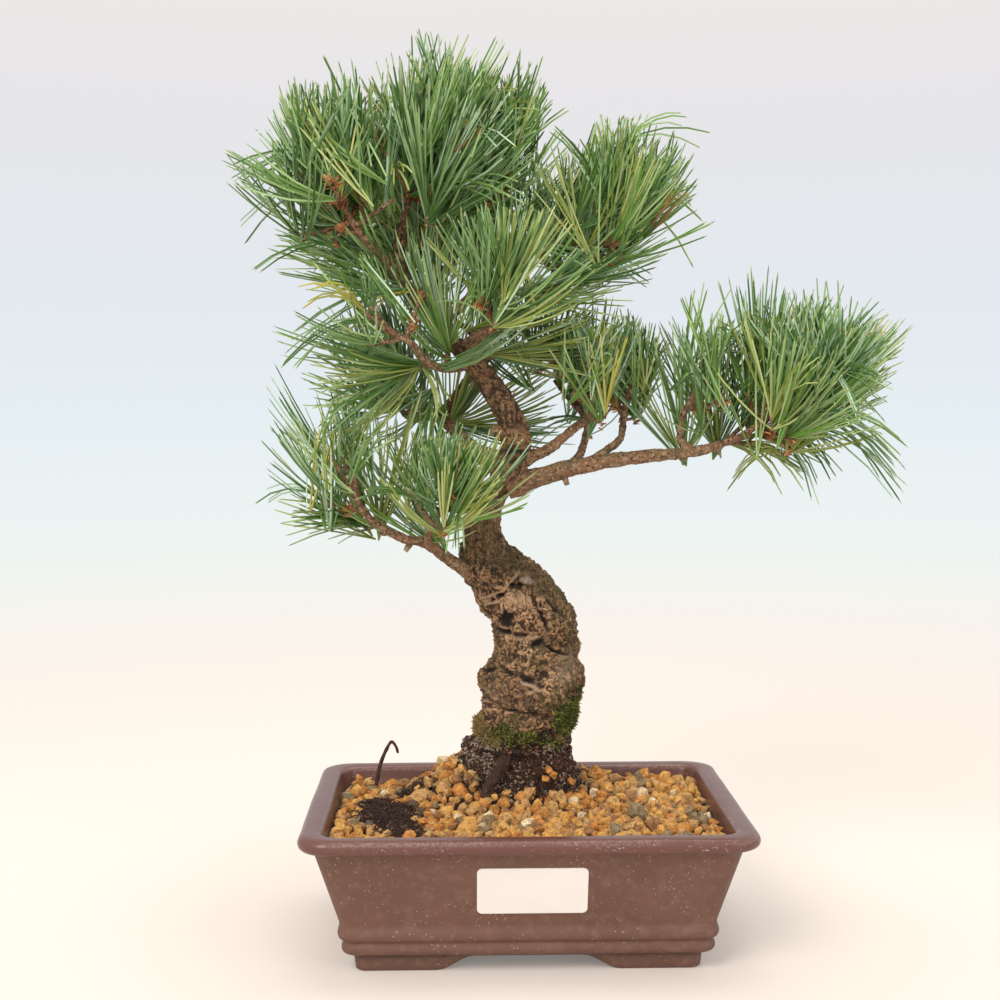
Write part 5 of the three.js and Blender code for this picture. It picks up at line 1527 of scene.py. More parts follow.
def growth(index):
    """The seeded rule of the solids. A stem leaves the limb's tip and runs into the space. Twigs leave it
    one above the other, turned by the golden angle and leaning less and less. Each ends in a shoot that
    turns up to the light, as far below the outline as a needle is long."""
    _, limb, middle, _, count = MASSES[index]
    random = chance(FIRST_SEED + index)
    place, heading = limb_tip(limb)
    foot = place + heading * CLEARANCE
    axis = unit(np.array(middle, float) - foot)
    clad = NEEDLE_SHARE * NEEDLE_LENGTH
    stem_length = max(SHORTEST_STEM, room_along(index, foot, axis) - clad)
    bend = foot + heading * stem_length * STEM_BEND
    top = foot + axis * stem_length
    first_turn = next(random) * FULL_TURN
    shoots = []
    for i in range(count):
        share = min(1, (i + FORK_SCATTER * next(random)) / (count - 1))
        at = FIRST_FORK + (1 - FIRST_FORK) * share
        fork = quadratic(foot, bend, top, at)
        lean = SHOOT_LEAN[0] + (SHOOT_LEAN[1] - SHOOT_LEAN[0]) * share
        aim = leaning(axis, lean, first_turn + i * GOLDEN_TURN)
        stub = max(SHORTEST_TWIG, room_along(index, fork, aim) - clad)
        base = fork + aim * stub
        shoot_heading = unit(aim + np.array([0, 0, SHOOT_LIFT]))
        shoots.append((fork, base, shoot_heading, next(random) * math.pi))
    return (foot - heading * 1.5, bend, top), shoots


def bent(curve, count):
    """So many points at even shares of a quadratic curve."""
    return quadratic(*curve, np.linspace(0, 1, count)[:, None])


def shoots_of(index, side_shoots, random):
    """Every clad shoot of a mass as base, heading, length, whether it is the rule's own, and turn, with the
    twigs that carry them. Finer twigs leave the stem and each twig by the same golden turn, lean out from it
    and turn up at their ends, where the space has room for them."""
    stem, shoots = growth(index)
    twigs = [(bent(stem, 9), STEM_RADIUS, STEM_RADIUS * 0.85)]
    clad, carriers = [], [(bent(stem, 9), 0.2, side_shoots // 2)]
    for fork, base, heading, turn in shoots:
        tip = base + heading * SHOOT_LENGTH
        tests = np.array([base, (base + tip) / 2, tip])
        if not in_own_space(index, tests).all() or touches_limb(tests, LIMB_MARGIN).any():
            continue
        twig = bent((fork, base, tip), 9)
        twigs.append((twig, TWIG_RADIUS * 1.1, TWIG_RADIUS * 0.75))
        clad.append((base, heading, SHOOT_LENGTH, 1, turn))
        carriers.append((twig, 0.25, side_shoots))
    for path, first, count in carriers:
        axis = unit(path[-1] - path[0])
        turn = random.uniform(0, FULL_TURN)
        for k in range(count):
            share = first + (0.95 - first) * (k + random.uniform(0.2, 0.8)) / count
            before, after = path[int(share * 8)], path[int(share * 8) + 1]
            start = before + (after - before) * (share * 8 % 1)
            aim = leaning(axis, math.radians(random.uniform(48, 98)), turn + k * GOLDEN_TURN)
            length = random.uniform(*FINE_TWIG)
            elbow = start + aim * length
            heading = unit(aim * 0.62 + np.array([0, 0, 0.62]))
            end = elbow + heading * FINE_SHOOT
            tests = np.array([elbow, end])
            lower = tests + np.array([0, 0, SPRAY_DROP * MASS_REACHES[index][2]])
            if not in_own_space(index, lower, -0.15, 0.05).all() or touches_limb(tests, 0.2).any():
                continue
            twigs.append((bent((start, elbow, end), 7), TWIG_RADIUS * 0.75, TWIG_RADIUS * 0.5))
            clad.append((elbow, heading, FINE_SHOOT, 0, turn + k))
    return twigs, clad


# Name, colour of a needle's outer face, and colour of its two inner faces with their bloom
NEEDLE_COLOURS = [
    ("deep", (0.048, 0.122, 0.018), (0.185, 0.305, 0.105)),
    ("fresh", (0.110, 0.235, 0.030), (0.330, 0.470, 0.185)),
    ("blue", (0.070, 0.165, 0.044), (0.380, 0.520, 0.330)),
    ("olive", (0.215, 0.260, 0.038), (0.410, 0.470, 0.165)),
    ("yellow", (0.430, 0.380, 0.055), (0.480, 0.450, 0.120)),
    ("dead", (0.330, 0.145, 0.040), (0.350, 0.175, 0.060)),
]
# Shares of the first four colours: usual, darker as painted shade for a mass in the shade, and brighter
# as painted light for one in the sun
USUAL, PAINTED_SHADE_SHARES, PAINTED_SUN_SHARES = (0.36, 0.34, 0.20, 0.10), (0.70, 0.16, 0.04, 0.10), (0.14, 0.44, 0.30, 0.12)
# Masses whose needles carry painted shade, and masses whose needles carry painted light
PAINTED_LIGHT_BY_MASS = {
    "needles_centre": PAINTED_SHADE_SHARES,
    "needles_centre_back": PAINTED_SHADE_SHARES,
    "needles_left_back": PAINTED_SHADE_SHARES,
    "needles_front": PAINTED_SHADE_SHARES,
    "needles_top_left": PAINTED_SHADE_SHARES,
    "needles_upper_right": PAINTED_SUN_SHARES,
    "needles_right_middle": PAINTED_SUN_SHARES,
    "needles_right_outer": PAINTED_SUN_SHARES,
    "needles_right_end": PAINTED_SUN_SHARES,
    "needles_low_left": PAINTED_SUN_SHARES,
}
# Bundles that take a colour of their own: how many, from which shares, and above which draws yellow and dead
ODD_BUNDLES = 0.35
ODD_SHARES = [0.34, 0.33, 0.22, 0.11]
YELLOW_ABOVE = 0.965
DEAD_ABOVE = 0.994
# In degrees: how far bundles lean out at a shoot's foot, how much less at its tip, and how far the needles
# of a bundle lean from its aim, in the masses and in the long sprays
BUNDLE_LEAN = (78, 64)
FIVE_LEAN = (3, 11)
LONG_FIVE_LEAN = (3, 12)
NEEDLE_SEED = 1000
NEEDLE_LIFT = 0.50
LOWEST_AIM = -0.02
KEPT_BELOW = 0.55
HANGING = 0.02
FINE_TWIG = (5, 17)
FINE_SHOOT = 9
SPRAY_OVERLAP = 0.42
SPRAY_DROP = 0.16
SPRAY_PAST = 2.5
BOX_PLAY = 3
BARE_BELOW = 18
BIG_MASS = 30
RAGGED = (-0.07, 0.13)
# How much further past the solids' outline, or less far, the sprays of some masses reach
SPRAY_TRIM = {
    "needles_top": -1.5,
    "needles_top_left": -6,
    "needles_upper_right": -3.5,
    "needles_right_end": -1,
    "needles_left_back": -3,
    "needles_left_front": -3,
    "needles_low_left": -3,
    "needles_low_left_front": 5,
    "needles_right_outer": 0,
    "needles_right_middle": -1.5,
    "needles_right_inner": -1.5,
}
# Round stretches of open sky beside the crown, seen from the front: x, z, half width and half height
SKY = [
    (-133.5, 378.0, 26.5, 37.0),
    (-139.1, 315.5, 16.3, 13.5),
    (-125.5, 286.0, 19.0, 13.0),
    (-114.2, 266.9, 12.0, 22.0),
    (-30.4, 411.0, 49.8, 12.0),
    (35.3, 387.3, 26.5, 18.5),
    (25.3, 363.0, 8.0, 12.0),
    (50.0, 376.0, 33.0, 13.0),
    (97.5, 346.4, 21.5, 29.0),
    (90.6, 300.1, 16.0, 12.0),
    (187.1, 248.7, 17.0, 34.1),
    (173.5, 287.4, 13.0, 15.0),
    (-127.8, 205.5, 15.5, 25.3),
    (-82.5, 151.0, 27.2, 15.9),
    (17.2, 182.8, 18.1, 20.5),
    (10.4, 239.6, 13.0, 13.0),
]
SKY_PLANE = 22
# Sprays of their own, with long bent needles, by mass: the shoot's tip, its heading, bundles, spread, bend
# and colour
LONG_SPRAYS = {
    "needles_left_back": [
        ((-28.6, 34, 227.0), (1.0, 0.2, -0.02), 9, 24, (0, 0, 0.1), 3),
        ((-44.0, 26, 233.0), (-0.3, -0.35, -0.75), 8, 45, (-0.1, 0, 0.2), 1),
        ((-32.0, 34, 232.5), (0.25, 0.2, 1.0), 8, 48, (0, 0, 0.1), 3),
        ((-52.0, 28, 236.0), (-1.0, -0.1, 0.20), 12, 32, (0, 0, 0.15), 1),
    ],
    "needles_front": [
        ((-34.0, -6, 262.0), (-0.2, -0.6, 0.8), 10, 50, (0, 0, 0.2), 1),
        ((-9.0, 0, 257.0), (1.0, -0.15, -0.05), 9, 26, (0, 0, -0.1), 3),
    ],
    "needles_left_front": [
        ((-48.0, -4, 252.5), (-0.95, -0.25, -0.05), 9, 30, (-0.1, 0, 0.1), 3),
        ((-48.0, -4, 252.5), (-0.9, -0.25, -0.45), 3, 22, (-0.2, 0, -0.3), 1),
        ((-45.0, -5, 251.5), (0.1, -0.2, -1.0), 2, 30, (-0.9, 0, 0.3), 3),
        ((-45.0, -5, 251.5), (1.0, -0.4, -0.7), 2, 22, (0.2, 0, 1.7), 3),
    ],
    "needles_top_left": [
        ((-60.0, 12, 286.0), (-0.9, -0.2, 0.05), 7, 26, (0, 0, 0.2), 1),
        ((-65.0, 14, 302.0), (-1.0, -0.1, 0.12), 8, 24, (0, 0, 0.25), 1),
        ((-56.0, 8, 292.0), (-0.7, -0.4, 0.30), 8, 40, (0, 0, 0.25), 1),
    ],
    "needles_top": [
        ((-43.0, 20, 283.0), (0.1, -0.1, 1.0), 10, 50, (0, 0, 0.1), 1),
    ],
    "needles_upper_right": [
        ((-16.0, 12, 270.0), (1.0, -0.3, 0.1), 8, 28, (0, 0, 0.1), 3),
        ((2.0, 6, 284.5), (1.0, -0.15, 0.0), 10, 26, (0, 0, 0.15), 3),
        ((22.0, 10, 292.0), (1.0, -0.1, 0.15), 8, 26, (0, 0, 0.3), 1),
    ],
    "needles_low_left": [
        ((-70.0, 10, 181.5), (-0.7, -0.65, 0.10), 5, 18, (0, 0, -0.3), 1),
        ((-77.0, 10, 199.0), (-0.6, -0.1, 0.8), 6, 28, (0, 0, 0.15), 1),
        ((-64.0, 6, 183.0), (0.05, -0.15, 1.0), 7, 26, (0, 0, 0.1), 3),
        ((-74.0, 8, 184.0), (-0.7, -0.2, 0.75), 6, 32, (0, 0, 0.2), 3),
    ],
    "needles_low_left_front": [
        ((-41.7, 4, 176.0), (1.0, -0.25, 0.02), 2, 30, (0, 0.2, 0.5), 3),
        ((-42.5, 4, 176.0), (-0.85, -0.2, 0.75), 8, 32, (0, 0, 0.25), 1),
    ],
    "needles_right_inner": [
        ((30.0, 16, 229.0), (0.1, -0.3, 1.0), 5, 32, (0.1, 0, 0.3), 1),
    ],
    "needles_right_middle": [
        ((72.4, 20, 214.0), (-0.35, -0.2, 1.0), 4, 28, (-0.3, 0, 0.4), 3),
        ((74.0, 20, 214.0), (0.15, -0.3, 1.0), 4, 30, (0.3, 0, 0.3), 1),
    ],
    "needles_right_outer": [
        ((86.5, 22, 218.0), (-0.55, -0.2, 0.9), 4, 28, (-0.2, 0, 0.5), 3),
        ((90.0, 20, 219.0), (0.35, -0.3, 1.0), 6, 36, (0.1, 0, 0.2), 1),
    ],
    "needles_right_end": [
        ((106.0, 16, 239.0), (-0.1, -0.1, 1.0), 7, 25, (0, 0, 0.1), 1),
        ((104.0, 18, 218.5), (1.0, -0.25, 0.05), 3, 18, (-0.4, 0, -0.95), 3),
        ((114.0, 18, 224.0), (1.0, -0.3, 0.25), 6, 26, (-0.3, 0, -1.0), 1),
    ],
}
HANGING_MASSES = ("needles_right_end",)
SCALE_COLOURS = [(0.400, 0.140, 0.040), (0.190, 0.064, 0.026), (0.520, 0.260, 0.100)]
SCALE_SHARES = [0.5, 0.3, 0.2]
SCALES_ON_MAIN = 62
SCALES_ON_FINE = 7
NEEDLE_RINGS = np.array([0, 0.25, 0.5, 0.75, 0.96])
NEEDLE_TAPER = np.array([0.80, 1.0, 1.0, 0.95, 0.72])


def in_sky(points, loose):
    """Whether points, seen from the camera's place, lie in front of one of the open stretches, loosely."""
    scale = (SKY_PLANE - CAMERA_PLACE[1]) / (points[..., 1] - CAMERA_PLACE[1])
    x, z = (CAMERA_PLACE[k] + (points[..., k] - CAMERA_PLACE[k]) * scale for k in (0, 2))
    hit = np.zeros(x.shape, bool)
    for sky_x, sky_z, half_width, half_height in SKY:
        hit |= ((x - sky_x) / half_width) ** 2 + ((z - sky_z) / half_height) ** 2 < 1 - 2 * loose
    return hit


def in_reach(points):
    """Whether points lie in the solids' own box, or no more than a few millimetres outside."""
    low, high = np.array(CAD_BOX) / MM - PLANT_SHIFT
    return ((points > low - BOX_PLAY) & (points < high + BOX_PLAY)).all(-1)


def bundles_on(clad, settings, random):
    """Roots, aims and shoots of the bundles: they sit along each shoot by the golden turn and lean less
    towards its tip. All are lifted to the light, and one that would still point down is turned up."""
    rows = []
    for shoot, (base, heading, length, main, turn) in enumerate(clad):
        count = settings.bundles if main else settings.side_bundles
        share = (np.arange(count) + random.uniform(0.2, 0.8, count)) / count
        side, across = beside(heading)
        lean = BUNDLE_LEAN[0] - BUNDLE_LEAN[1] * share**0.9 + random.normal(0, 7, count)
        lean = np.radians(lean)[:, None]
        angle = (turn + np.arange(count) * GOLDEN_TURN + random.normal(0, 0.25, count))[:, None]
        aim = heading * np.cos(lean) + (side * np.cos(angle) + across * np.sin(angle)) * np.sin(lean)
        root = base + heading * (length * share)[:, None]
        rows.append((root, aim, np.full(count, shoot), np.broadcast_to(heading, (count, 3)), share))
    root, aim, shoot, heading, share = (np.concatenate([row[k] for row in rows]) for k in range(5))
    lift = NEEDLE_LIFT * (0.25 + share) * random.uniform(0.5, 1.4, len(aim))
    aim = unit(aim + np.array([0, 0, 1.0]) * lift[:, None])
    below = aim[:, 2] < LOWEST_AIM
    aim[:, 2] = np.where(below, LOWEST_AIM + 0.4 * (LOWEST_AIM - aim[:, 2]), aim[:, 2])
    kept = ~below | (random.random(len(aim)) < KEPT_BELOW)
    return root[kept], unit(aim[kept]), shoot[kept], heading[kept]


def needles_of(index, clad, settings, random):
    """All needles of one mass, five in a bundle. A needle runs as root + length * (aim s + bend s^2 / 2).
    Most sweep up to the light, and some hang over. One that would leave the space or meet a limb is
    shortened, or else skipped. The long sprays of the mass keep their length."""
    root, aim, shoot, heading = bundles_on(clad, settings, random)
    name, bundles = MASSES[index][0], len(root)
    # Colour shares by mass: painted shade in the shaded masses, painted light in the sunny ones
    family = random.choice(4, len(clad), p=PAINTED_LIGHT_BY_MASS.get(name, USUAL))[shoot]
    odd = random.random(bundles)
    family = np.where(odd < ODD_BUNDLES, random.choice(4, bundles, p=ODD_SHARES), family)
    family = np.where(odd > YELLOW_ABOVE, 4, family)
    family = np.where(odd > DEAD_ABOVE, 5, family)
    length = NEEDLE_LENGTH * random.uniform(0.88, 1.04, bundles)
    level = 1 - aim[:, 2:] ** 2
    hanging = HANGING * (4 if name in HANGING_MASSES else 1)
    hangs = (random.random(bundles) < hanging * (1.6 - aim[:, 2] * 1.6))[:, None]
    upward = random.uniform(0.3, 1.3, bundles)[:, None] * np.array([0, 0, 0.85]) + 0.12 * heading
    downward = random.uniform(0.8, 1.9, bundles)[:, None] * np.array([0, 0, -1.0])
    bend = np.where(hangs, downward, upward) * level
    loose = random.normal(RAGGED[0], RAGGED[1], bundles)[:, None] + 0.3 * hangs
    root, aim, bend, length, out, family, loose = in_fives(
        root, aim, bend, length, family, loose, FIVE_LEAN, random
    )
    share = np.array([0.35, 0.6, 0.85, 1.0])[None, :, None]
    reach = MASS_REACHES[index]
    past = (SPRAY_PAST + SPRAY_TRIM.get(name, 0)) / reach.mean()
    drop = np.array([0, 0, SPRAY_DROP * reach[2]])
    kept = np.zeros(len(root), bool)
    for shrink in (1, 0.93, 0.86, 0.79) if reach.mean() > BIG_MASS else (1, 0.9, 0.8, 0.7, 0.6):
        reach = (length * shrink)[:, None, None]
        tests = root[:, None] + reach * (aim[:, None] * share + bend[:, None] * share**2 / 2)
        free = in_own_space(index, tests + drop, -SPRAY_OVERLAP, past + loose).all(1)
        free &= ~touches_limb(tests, 0.9).any(1) & ~in_sky(tests, loose).any(1) & in_reach(tests).all(1)
        length = np.where(free & ~kept, length * shrink, length)
        kept |= free
    counts = np.bincount(np.repeat(shoot, 5)[kept], minlength=len(clad))
    parts = [[column[kept] for column in (root, aim, bend, length, out, family)]]
    for tip, way, count, spread, bow, colour in LONG_SPRAYS.get(name, ()):
        lean = np.radians(spread) * np.sqrt(random.random(count))
        turn = random.uniform(0, FULL_TURN, count)
        way = unit(np.array(way))
        aims = np.array([leaning(way, a, b) for a, b in zip(lean, turn)])
        roots = np.array(tip) - way * random.uniform(0, 12, (count, 1))
        bows = np.array(bow) * random.uniform(0.4, 1.5, (count, 1)) + random.normal(0, 0.18, (count, 3))
        bows[:, 2] += random.uniform(0, 0.6, count) * (bow[2] > -0.2)
        lengths = NEEDLE_LENGTH * random.uniform(0.84, 1.0, count) * min(1, 1 + 0.22 * bow[2])
        colours = np.where(random.random(count) < 0.45, colour, random.choice(3, count))
        free = np.zeros((count, 1))
        five = in_fives(roots, aims, bows, lengths, colours, free, LONG_FIVE_LEAN, random)
        within = in_reach(five[0] + five[3][:, None] * (five[1] + five[2] / 2))
        parts.append([column[within] for column in five[:6]])
    columns = (np.concatenate([part[k] for part in parts]) for k in range(6))
    return (*blades(*columns, settings.width / MM, random), counts)


def in_fives(root, aim, bend, length, family, loose, spread, random):
    """Five needles for each bundle, spread evenly round its aim, with the way outwards from its middle."""
    spin = (random.uniform(0, FULL_TURN, len(root))[:, None] + np.arange(5) * FULL_TURN / 5)[..., None]
    first = unit(np.cross(aim, random.normal(size=aim.shape)))
    second = np.cross(aim, first)
    out = first[:, None] * np.cos(spin) + second[:, None] * np.sin(spin)
    lean = np.radians(random.uniform(*spread, (len(root), 5)))[..., None]
    needle_aim = unit(aim[:, None] * np.cos(lean) + out * np.sin(lean)).reshape(-1, 3)
    columns = (root, bend, length, family, loose)
    root, bend, length, family, loose = (np.repeat(column, 5, 0) for column in columns)
    bend = bend + random.normal(0, 0.09, bend.shape)
    length = length * random.uniform(0.94, 1.02, len(root))
    return root, needle_aim, bend, length, out.reshape(-1, 3), family, loose


def blades(root, aim, bend, length, out, family, width, random):
    """Needles as closed three-sided blades, the ridge towards the bundle's middle, with a short point."""
    share = NEEDLE_RINGS[None, :, None]
    path = root[:, None] + length[:, None, None] * (aim[:, None] * share + bend[:, None] * share**2 / 2)
    tip = root + length[:, None] * (aim + bend / 2)
    tangent = unit(aim[:, None] + bend[:, None] * share)
    upward = unit(out[:, None] - tangent * np.sum(out[:, None] * tangent, -1, keepdims=True))
    across = np.cross(upward, tangent)
    twist = random.normal(0, 0.5, len(root))[:, None] * NEEDLE_RINGS
    cos, sin = np.cos(twist)[..., None], np.sin(twist)[..., None]
    across, upward = across * cos + upward * sin, upward * cos - across * sin
    section = np.array([(0.5, 0.24), (-0.5, 0.24), (0, -0.44)]) * width
    size = NEEDLE_TAPER * random.uniform(0.85, 1.1, len(root))[:, None]
    outline = section * size[..., None, None]
    points, faces = sweep(path, across, upward, outline, np.stack([path[:, 0], tip], 1))
    inner = np.tile([0, 1, 1], len(NEEDLE_RINGS) - 1)
    sides = (2 * family[:, None] + inner).ravel()
    root_faces = np.repeat(2 * family[:, None] + 1, 3, 1)
    tip_colour = np.where(random.random(len(root)) < 0.6, len(NEEDLE_COLOURS) * 2, 2 * family)
    tip_faces = np.repeat(tip_colour[:, None], 3, 1)
    return points, faces, np.concatenate([sides, np.concatenate([root_faces, tip_faces], 1).ravel()])


def spray_twigs(name):
    """A short twig from the nearest limb to each long spray of a mass."""
    for tip, way, *_ in LONG_SPRAYS.get(name, ()):
        tip, way = np.array(tip, float), unit(np.array(way))
        nearest = BEAD_PLACES[np.argmin(np.linalg.norm(BEAD_PLACES - tip, axis=-1))]
        elbow = tip - way * min(8, 0.45 * np.linalg.norm(tip - nearest))
        yield bent((nearest, elbow, tip), 9), TWIG_RADIUS, TWIG_RADIUS * 0.6


def bud_scales(clad, random):
    """Papery scales round the foot and the tip of each shoot: flat three-sided blades that curl away."""
    base, heading, length, main = (np.array([row[k] for row in clad]) for k in range(4))
    per = np.where(main > 0, SCALES_ON_MAIN, SCALES_ON_FINE)
    base, heading, length, main = (np.repeat(column, per, 0) for column in (base, heading, length, main))
    total = len(base)
    at = np.where((random.random(total) < 0.6) | (main < 1), 0.0, 0.85) + random.uniform(-0.18, 0.20, total)
    side = unit(np.cross(heading, random.normal(size=(total, 3))))
    lean = np.radians(random.uniform(5, 55, total))[:, None]
    aim = heading * np.cos(lean) + side * np.sin(lean)
    out = 0.5 + 0.9 * main[:, None] * random.random((total, 1))
    start = base + heading * (at * length)[:, None] + side * out
    size = random.uniform(1.4, 2.9, total)[:, None] * (1 + 0.25 * main[:, None])
    path = start[:, None] + aim[:, None] * size[:, None] * np.array([0, 0.35, 0.7])[None, :, None]
    path = path + side[:, None] * size[:, None] * np.array([0, 0.04, 0.16])[None, :, None]
    tip = start + aim * size + side * size * 0.35
    upward = unit(np.cross(np.cross(aim, side), aim))
    across = np.cross(upward, aim)
    outline = np.array([(0.5, 0.0), (-0.5, 0.0), (0, -0.22)]) * np.array([0.8, 1.15, 0.75])[:, None, None]
    outline = outline * random.uniform(0.9, 1.5, total)[:, None, None, None]
    rings = len(outline[0])
    across, upward = (np.repeat(way[:, None], rings, 1) for way in (across, upward))
    points, faces = sweep(path, across, upward, outline, np.stack([start, tip], 1))
    kind = random.choice(len(SCALE_SHARES), total, p=SCALE_SHARES)
    return points, faces, np.concatenate([np.repeat(kind, 3 * (rings - 1)), np.repeat(kind, 6)])


class BONSAI_OT_needles(bpy.types.Operator):
    """Grow twigs, needles and bud scales from the limbs, one mass after the other"""

    bl_idname = "bonsai.needles"
    bl_label = "Needles"

    def execute(self, context):
        settings = context.scene.bonsai_needles
        finishes = []
        for name, outer, inner in NEEDLE_COLOURS:
            finishes.append(Finish(f"needle_{name}", outer, 0.36).material)
            finishes.append(Finish(f"needle_{name}_inner", inner, 0.45).material)
        finishes.append(Finish("needle_tip", (0.36, 0.38, 0.14), 0.5).material)
        twig_parts, scale_parts, scale_kinds = [], [], [[], []]
        for index, mass in enumerate(MASSES):
            random = np.random.default_rng(NEEDLE_SEED + index)
            twigs, clad = shoots_of(index, settings.side_shoots, random)
            points, faces, finish_of, counts = needles_of(index, clad, settings, random)
            leafy = [count >= BARE_BELOW or row[3] == 1 for count, row in zip(counts, clad)]
            clad = [row for row, count in zip(clad, counts) if count >= BARE_BELOW] or clad[:1]
            twigs = twigs[:1] + [twig for twig, keep in zip(twigs[1:], leafy) if keep]
            if not clad:
                raise RuntimeError(mass[0] + " has no shoots")
            piece = show(mass[0] + "_sprays", points, faces, finishes, finish_of, smooth=False)
            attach(piece, "root")
            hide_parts(mass[0])
            for path, first, last in (*twigs, *spray_twigs(mass[0])):
                radius = np.linspace(first, last, len(path)) * (1 + 0.12 * noise(path / 2.5, 9))
                twig_parts.append(tubes(path[None], radius[None], 9))
            points, faces, kinds = bud_scales(clad, random)
            scale_parts.append((points, faces))
            cut = len(faces[0])
            scale_kinds[0].append(kinds[:cut])
            scale_kinds[1].append(kinds[cut:])
        twig_piece = show("twigs", *joined(twig_parts), [young_finish("twig_bark", (0.225, 0.108, 0.054))])
        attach(twig_piece, "root")
        kinds = np.concatenate(scale_kinds[0] + scale_kinds[1])
        finishes = plain_finishes("bud_scale", SCALE_COLOURS, 0.6)
        scales = show("bud_scales", *joined(scale_parts), finishes, kinds, smooth=False)
        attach(scales, "root")
        return {"FINISHED"}


# Stage


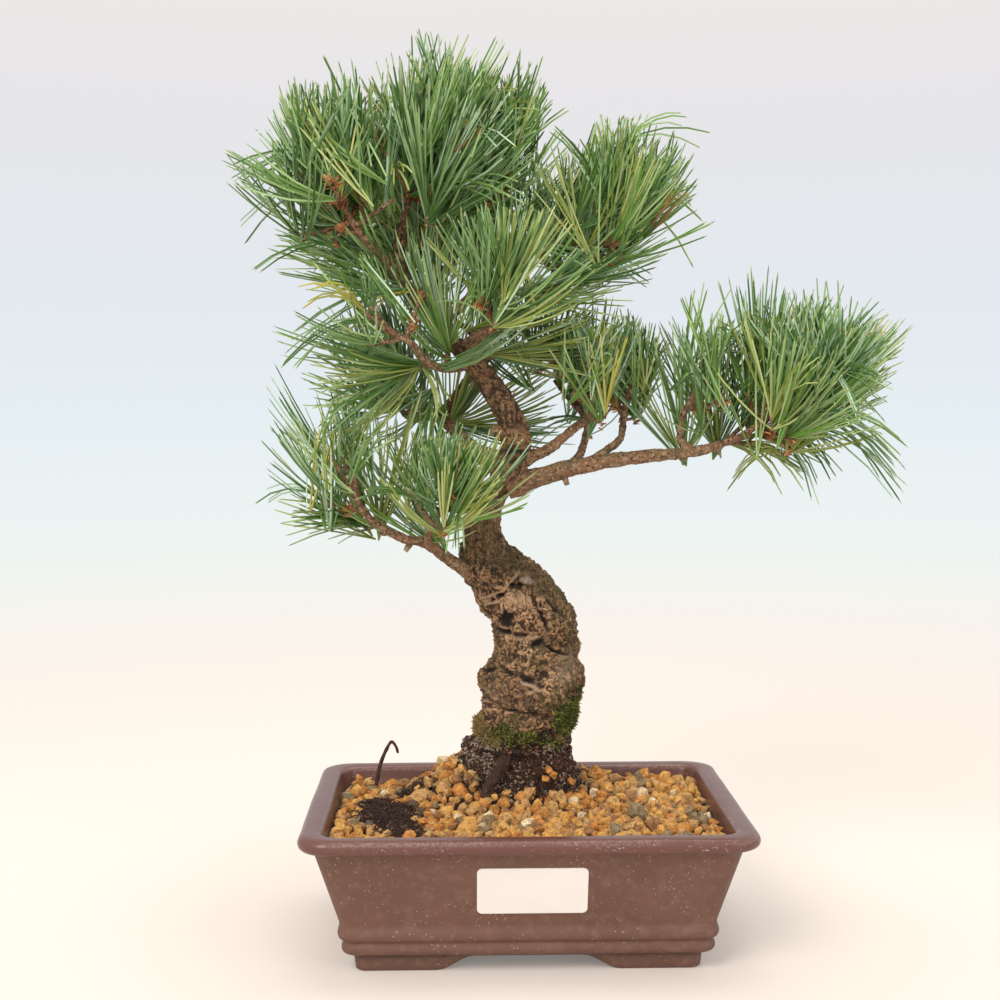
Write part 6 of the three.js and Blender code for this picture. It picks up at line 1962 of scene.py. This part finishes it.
class BONSAI_OT_stage(bpy.types.Operator):
    """Make the floor, the backdrop, the soft light and the camera"""

    bl_idname = "bonsai.stage"
    bl_label = "Stage"

    def execute(self, context):
        settings = context.scene.bonsai_studio
        scene = context.scene
        scene.view_settings.view_transform = "Standard"
        # A light tent: a flat floor that bends up into a round wall, which shines faintly itself
        bend = np.linspace(0, math.pi / 2, 24)
        radius = np.concatenate([[1, 300, 600], 800 + 1200 * np.sin(bend), [2000]])
        height = np.concatenate([[0, 0, 0], 1200 - 1200 * np.cos(bend), [2600]])
        flat = radius[:, None, None] * on_circle(round_angles(TENT_AROUND))
        height = np.broadcast_to(height[:, None, None], (*flat.shape[:2], 1))
        rows = np.concatenate([flat, height], -1) - PLANT_SHIFT
        low = (np.arange(len(radius) - 1) * TENT_AROUND)[:, None]
        quads = quads_between(low, low + TENT_AROUND, TENT_AROUND)[:, [0, 3, 2, 1]]
        tent = Finish("tent_cloth", settings.floor, 0.9, **{"Specular IOR Level": 0.0})
        surface = tent.surface
        ramp = tent.tree.nodes.new("ShaderNodeValToRGB")
        stops = [
            (0.0, (0.93, 0.925, 0.875)),
            (0.08, (0.85, 0.905, 0.89)),
            (0.24, (0.79, 0.86, 0.895)),
            (0.42, settings.backdrop),
            (0.78, (0.80, 0.79, 0.815)),
            (1.0, (0.84, 0.805, 0.80)),
        ]
        while len(ramp.color_ramp.elements) < len(stops):
            ramp.color_ramp.elements.new(0.5)
        for element, (position, colour) in zip(ramp.color_ramp.elements, stops):
            element.position = position
            element.color = (*colour, 1)
        tent.link(tent.height(0.0, 0.9), ramp.inputs["Fac"])
        tent.link(ramp.outputs["Color"], surface.inputs["Emission Color"])
        distance = tent.made("VectorMath", {0: tent.where((1, 1, 0))}, "Value", operation="LENGTH")
        inputs = {"From Min": 0.45, "From Max": 1.2, "To Min": FLOOR_GLOW, "Value": distance}
        glow = tent.made("MapRange", inputs, "Result")
        tent.link(glow, surface.inputs["Emission Strength"])
        tent.tint((0, 0, 0), glow)
        floor = show("floor", rows.reshape(-1, 3), [quads], [tent.material])

        world = bpy.data.worlds.new("studio")
        scene.world = world
        world.use_nodes = True
        world.node_tree.nodes["Background"].inputs["Color"].default_value = (1.0, 0.985, 0.96, 1)
        world.node_tree.nodes["Background"].inputs["Strength"].default_value = 0.9
        middle = Vector((0, 0, 0.2))
        for name, place, size, power, colour in (
            ("key", (-0.75, -1.1, 1.15), 0.9, settings.key, (1.0, 0.95, 0.88)),
            ("fill", (1.0, -1.1, 0.7), 1.1, settings.key * 0.30, (1.0, 0.98, 0.95)),
            ("top", (0.1, 0.2, 1.6), 1.2, settings.key * 0.65, (1.0, 0.97, 0.93)),
        ):
            light = bpy.data.lights.new(name, "AREA")
            light.shape = "DISK"
            light.size = size
            light.energy = power
            light.color = colour
            lamp = bpy.data.objects.new(name, light)
            lamp.location = place
            lamp.rotation_euler = (middle - Vector(place)).to_track_quat("-Z", "Y").to_euler()
            scene.collection.objects.link(lamp)

        camera = bpy.data.cameras.new("camera")
        camera.lens = CAMERA_LENS
        camera.sensor_width = SENSOR_WIDTH
        camera.clip_start = 0.01
        shot = bpy.data.objects.new("camera", camera)
        level = math.cos(CAMERA_PITCH)
        ahead = Vector((math.sin(CAMERA_YAW) * level, math.cos(CAMERA_YAW) * level, -math.sin(CAMERA_PITCH)))
        right = Vector((math.cos(CAMERA_YAW), -math.sin(CAMERA_YAW), 0))
        up = right.cross(ahead)
        turn = Matrix((right, up, -ahead)).transposed().to_4x4()
        shot.matrix_world = Matrix.Translation(Vector((CAMERA_PLACE + PLANT_SHIFT) * MM)) @ turn
        scene.collection.objects.link(shot)
        scene.camera = shot
        return {"FINISHED"}


class BONSAI_PT_panel(bpy.types.Panel):
    """The pieces, in the order in which they are made"""

    bl_idname = "BONSAI_PT_panel"
    bl_label = "Bonsai"
    bl_space_type = "VIEW_3D"
    bl_region_type = "UI"
    bl_category = "Bonsai"

    def draw(self, context):
        for group in GROUPS:
            settings = getattr(context.scene, group)
            for name in settings.__annotations__:
                self.layout.prop(settings, name)
        for operator in OPERATORS:
            self.layout.operator(operator.bl_idname)


GROUPS = {
    "bonsai_pot": PotSettings,
    "bonsai_gravel": GravelSettings,
    "bonsai_bark": BarkSettings,
    "bonsai_needles": NeedleSettings,
    "bonsai_studio": StudioSettings,
}
OPERATORS = [
    BONSAI_OT_stage,
    BONSAI_OT_pot,
    BONSAI_OT_label,
    BONSAI_OT_gravel,
    BONSAI_OT_root_mound,
    BONSAI_OT_bark,
    BONSAI_OT_needles,
]


def register():
    for group in (*GROUPS.values(), *OPERATORS, BONSAI_PT_panel):
        bpy.utils.register_class(group)
    for name, group in GROUPS.items():
        setattr(bpy.types.Scene, name, bpy.props.PointerProperty(type=group))


def unregister():
    for name in GROUPS:
        delattr(bpy.types.Scene, name)
    for group in (BONSAI_PT_panel, *reversed(OPERATORS), *reversed(list(GROUPS.values()))):
        bpy.utils.unregister_class(group)


def main():
    register()
    for operator in OPERATORS:
        group, name = operator.bl_idname.split(".")
        getattr(getattr(bpy.ops, group), name)()
    bpy.context.view_layer.update()


if __name__ == "__main__":
    main()
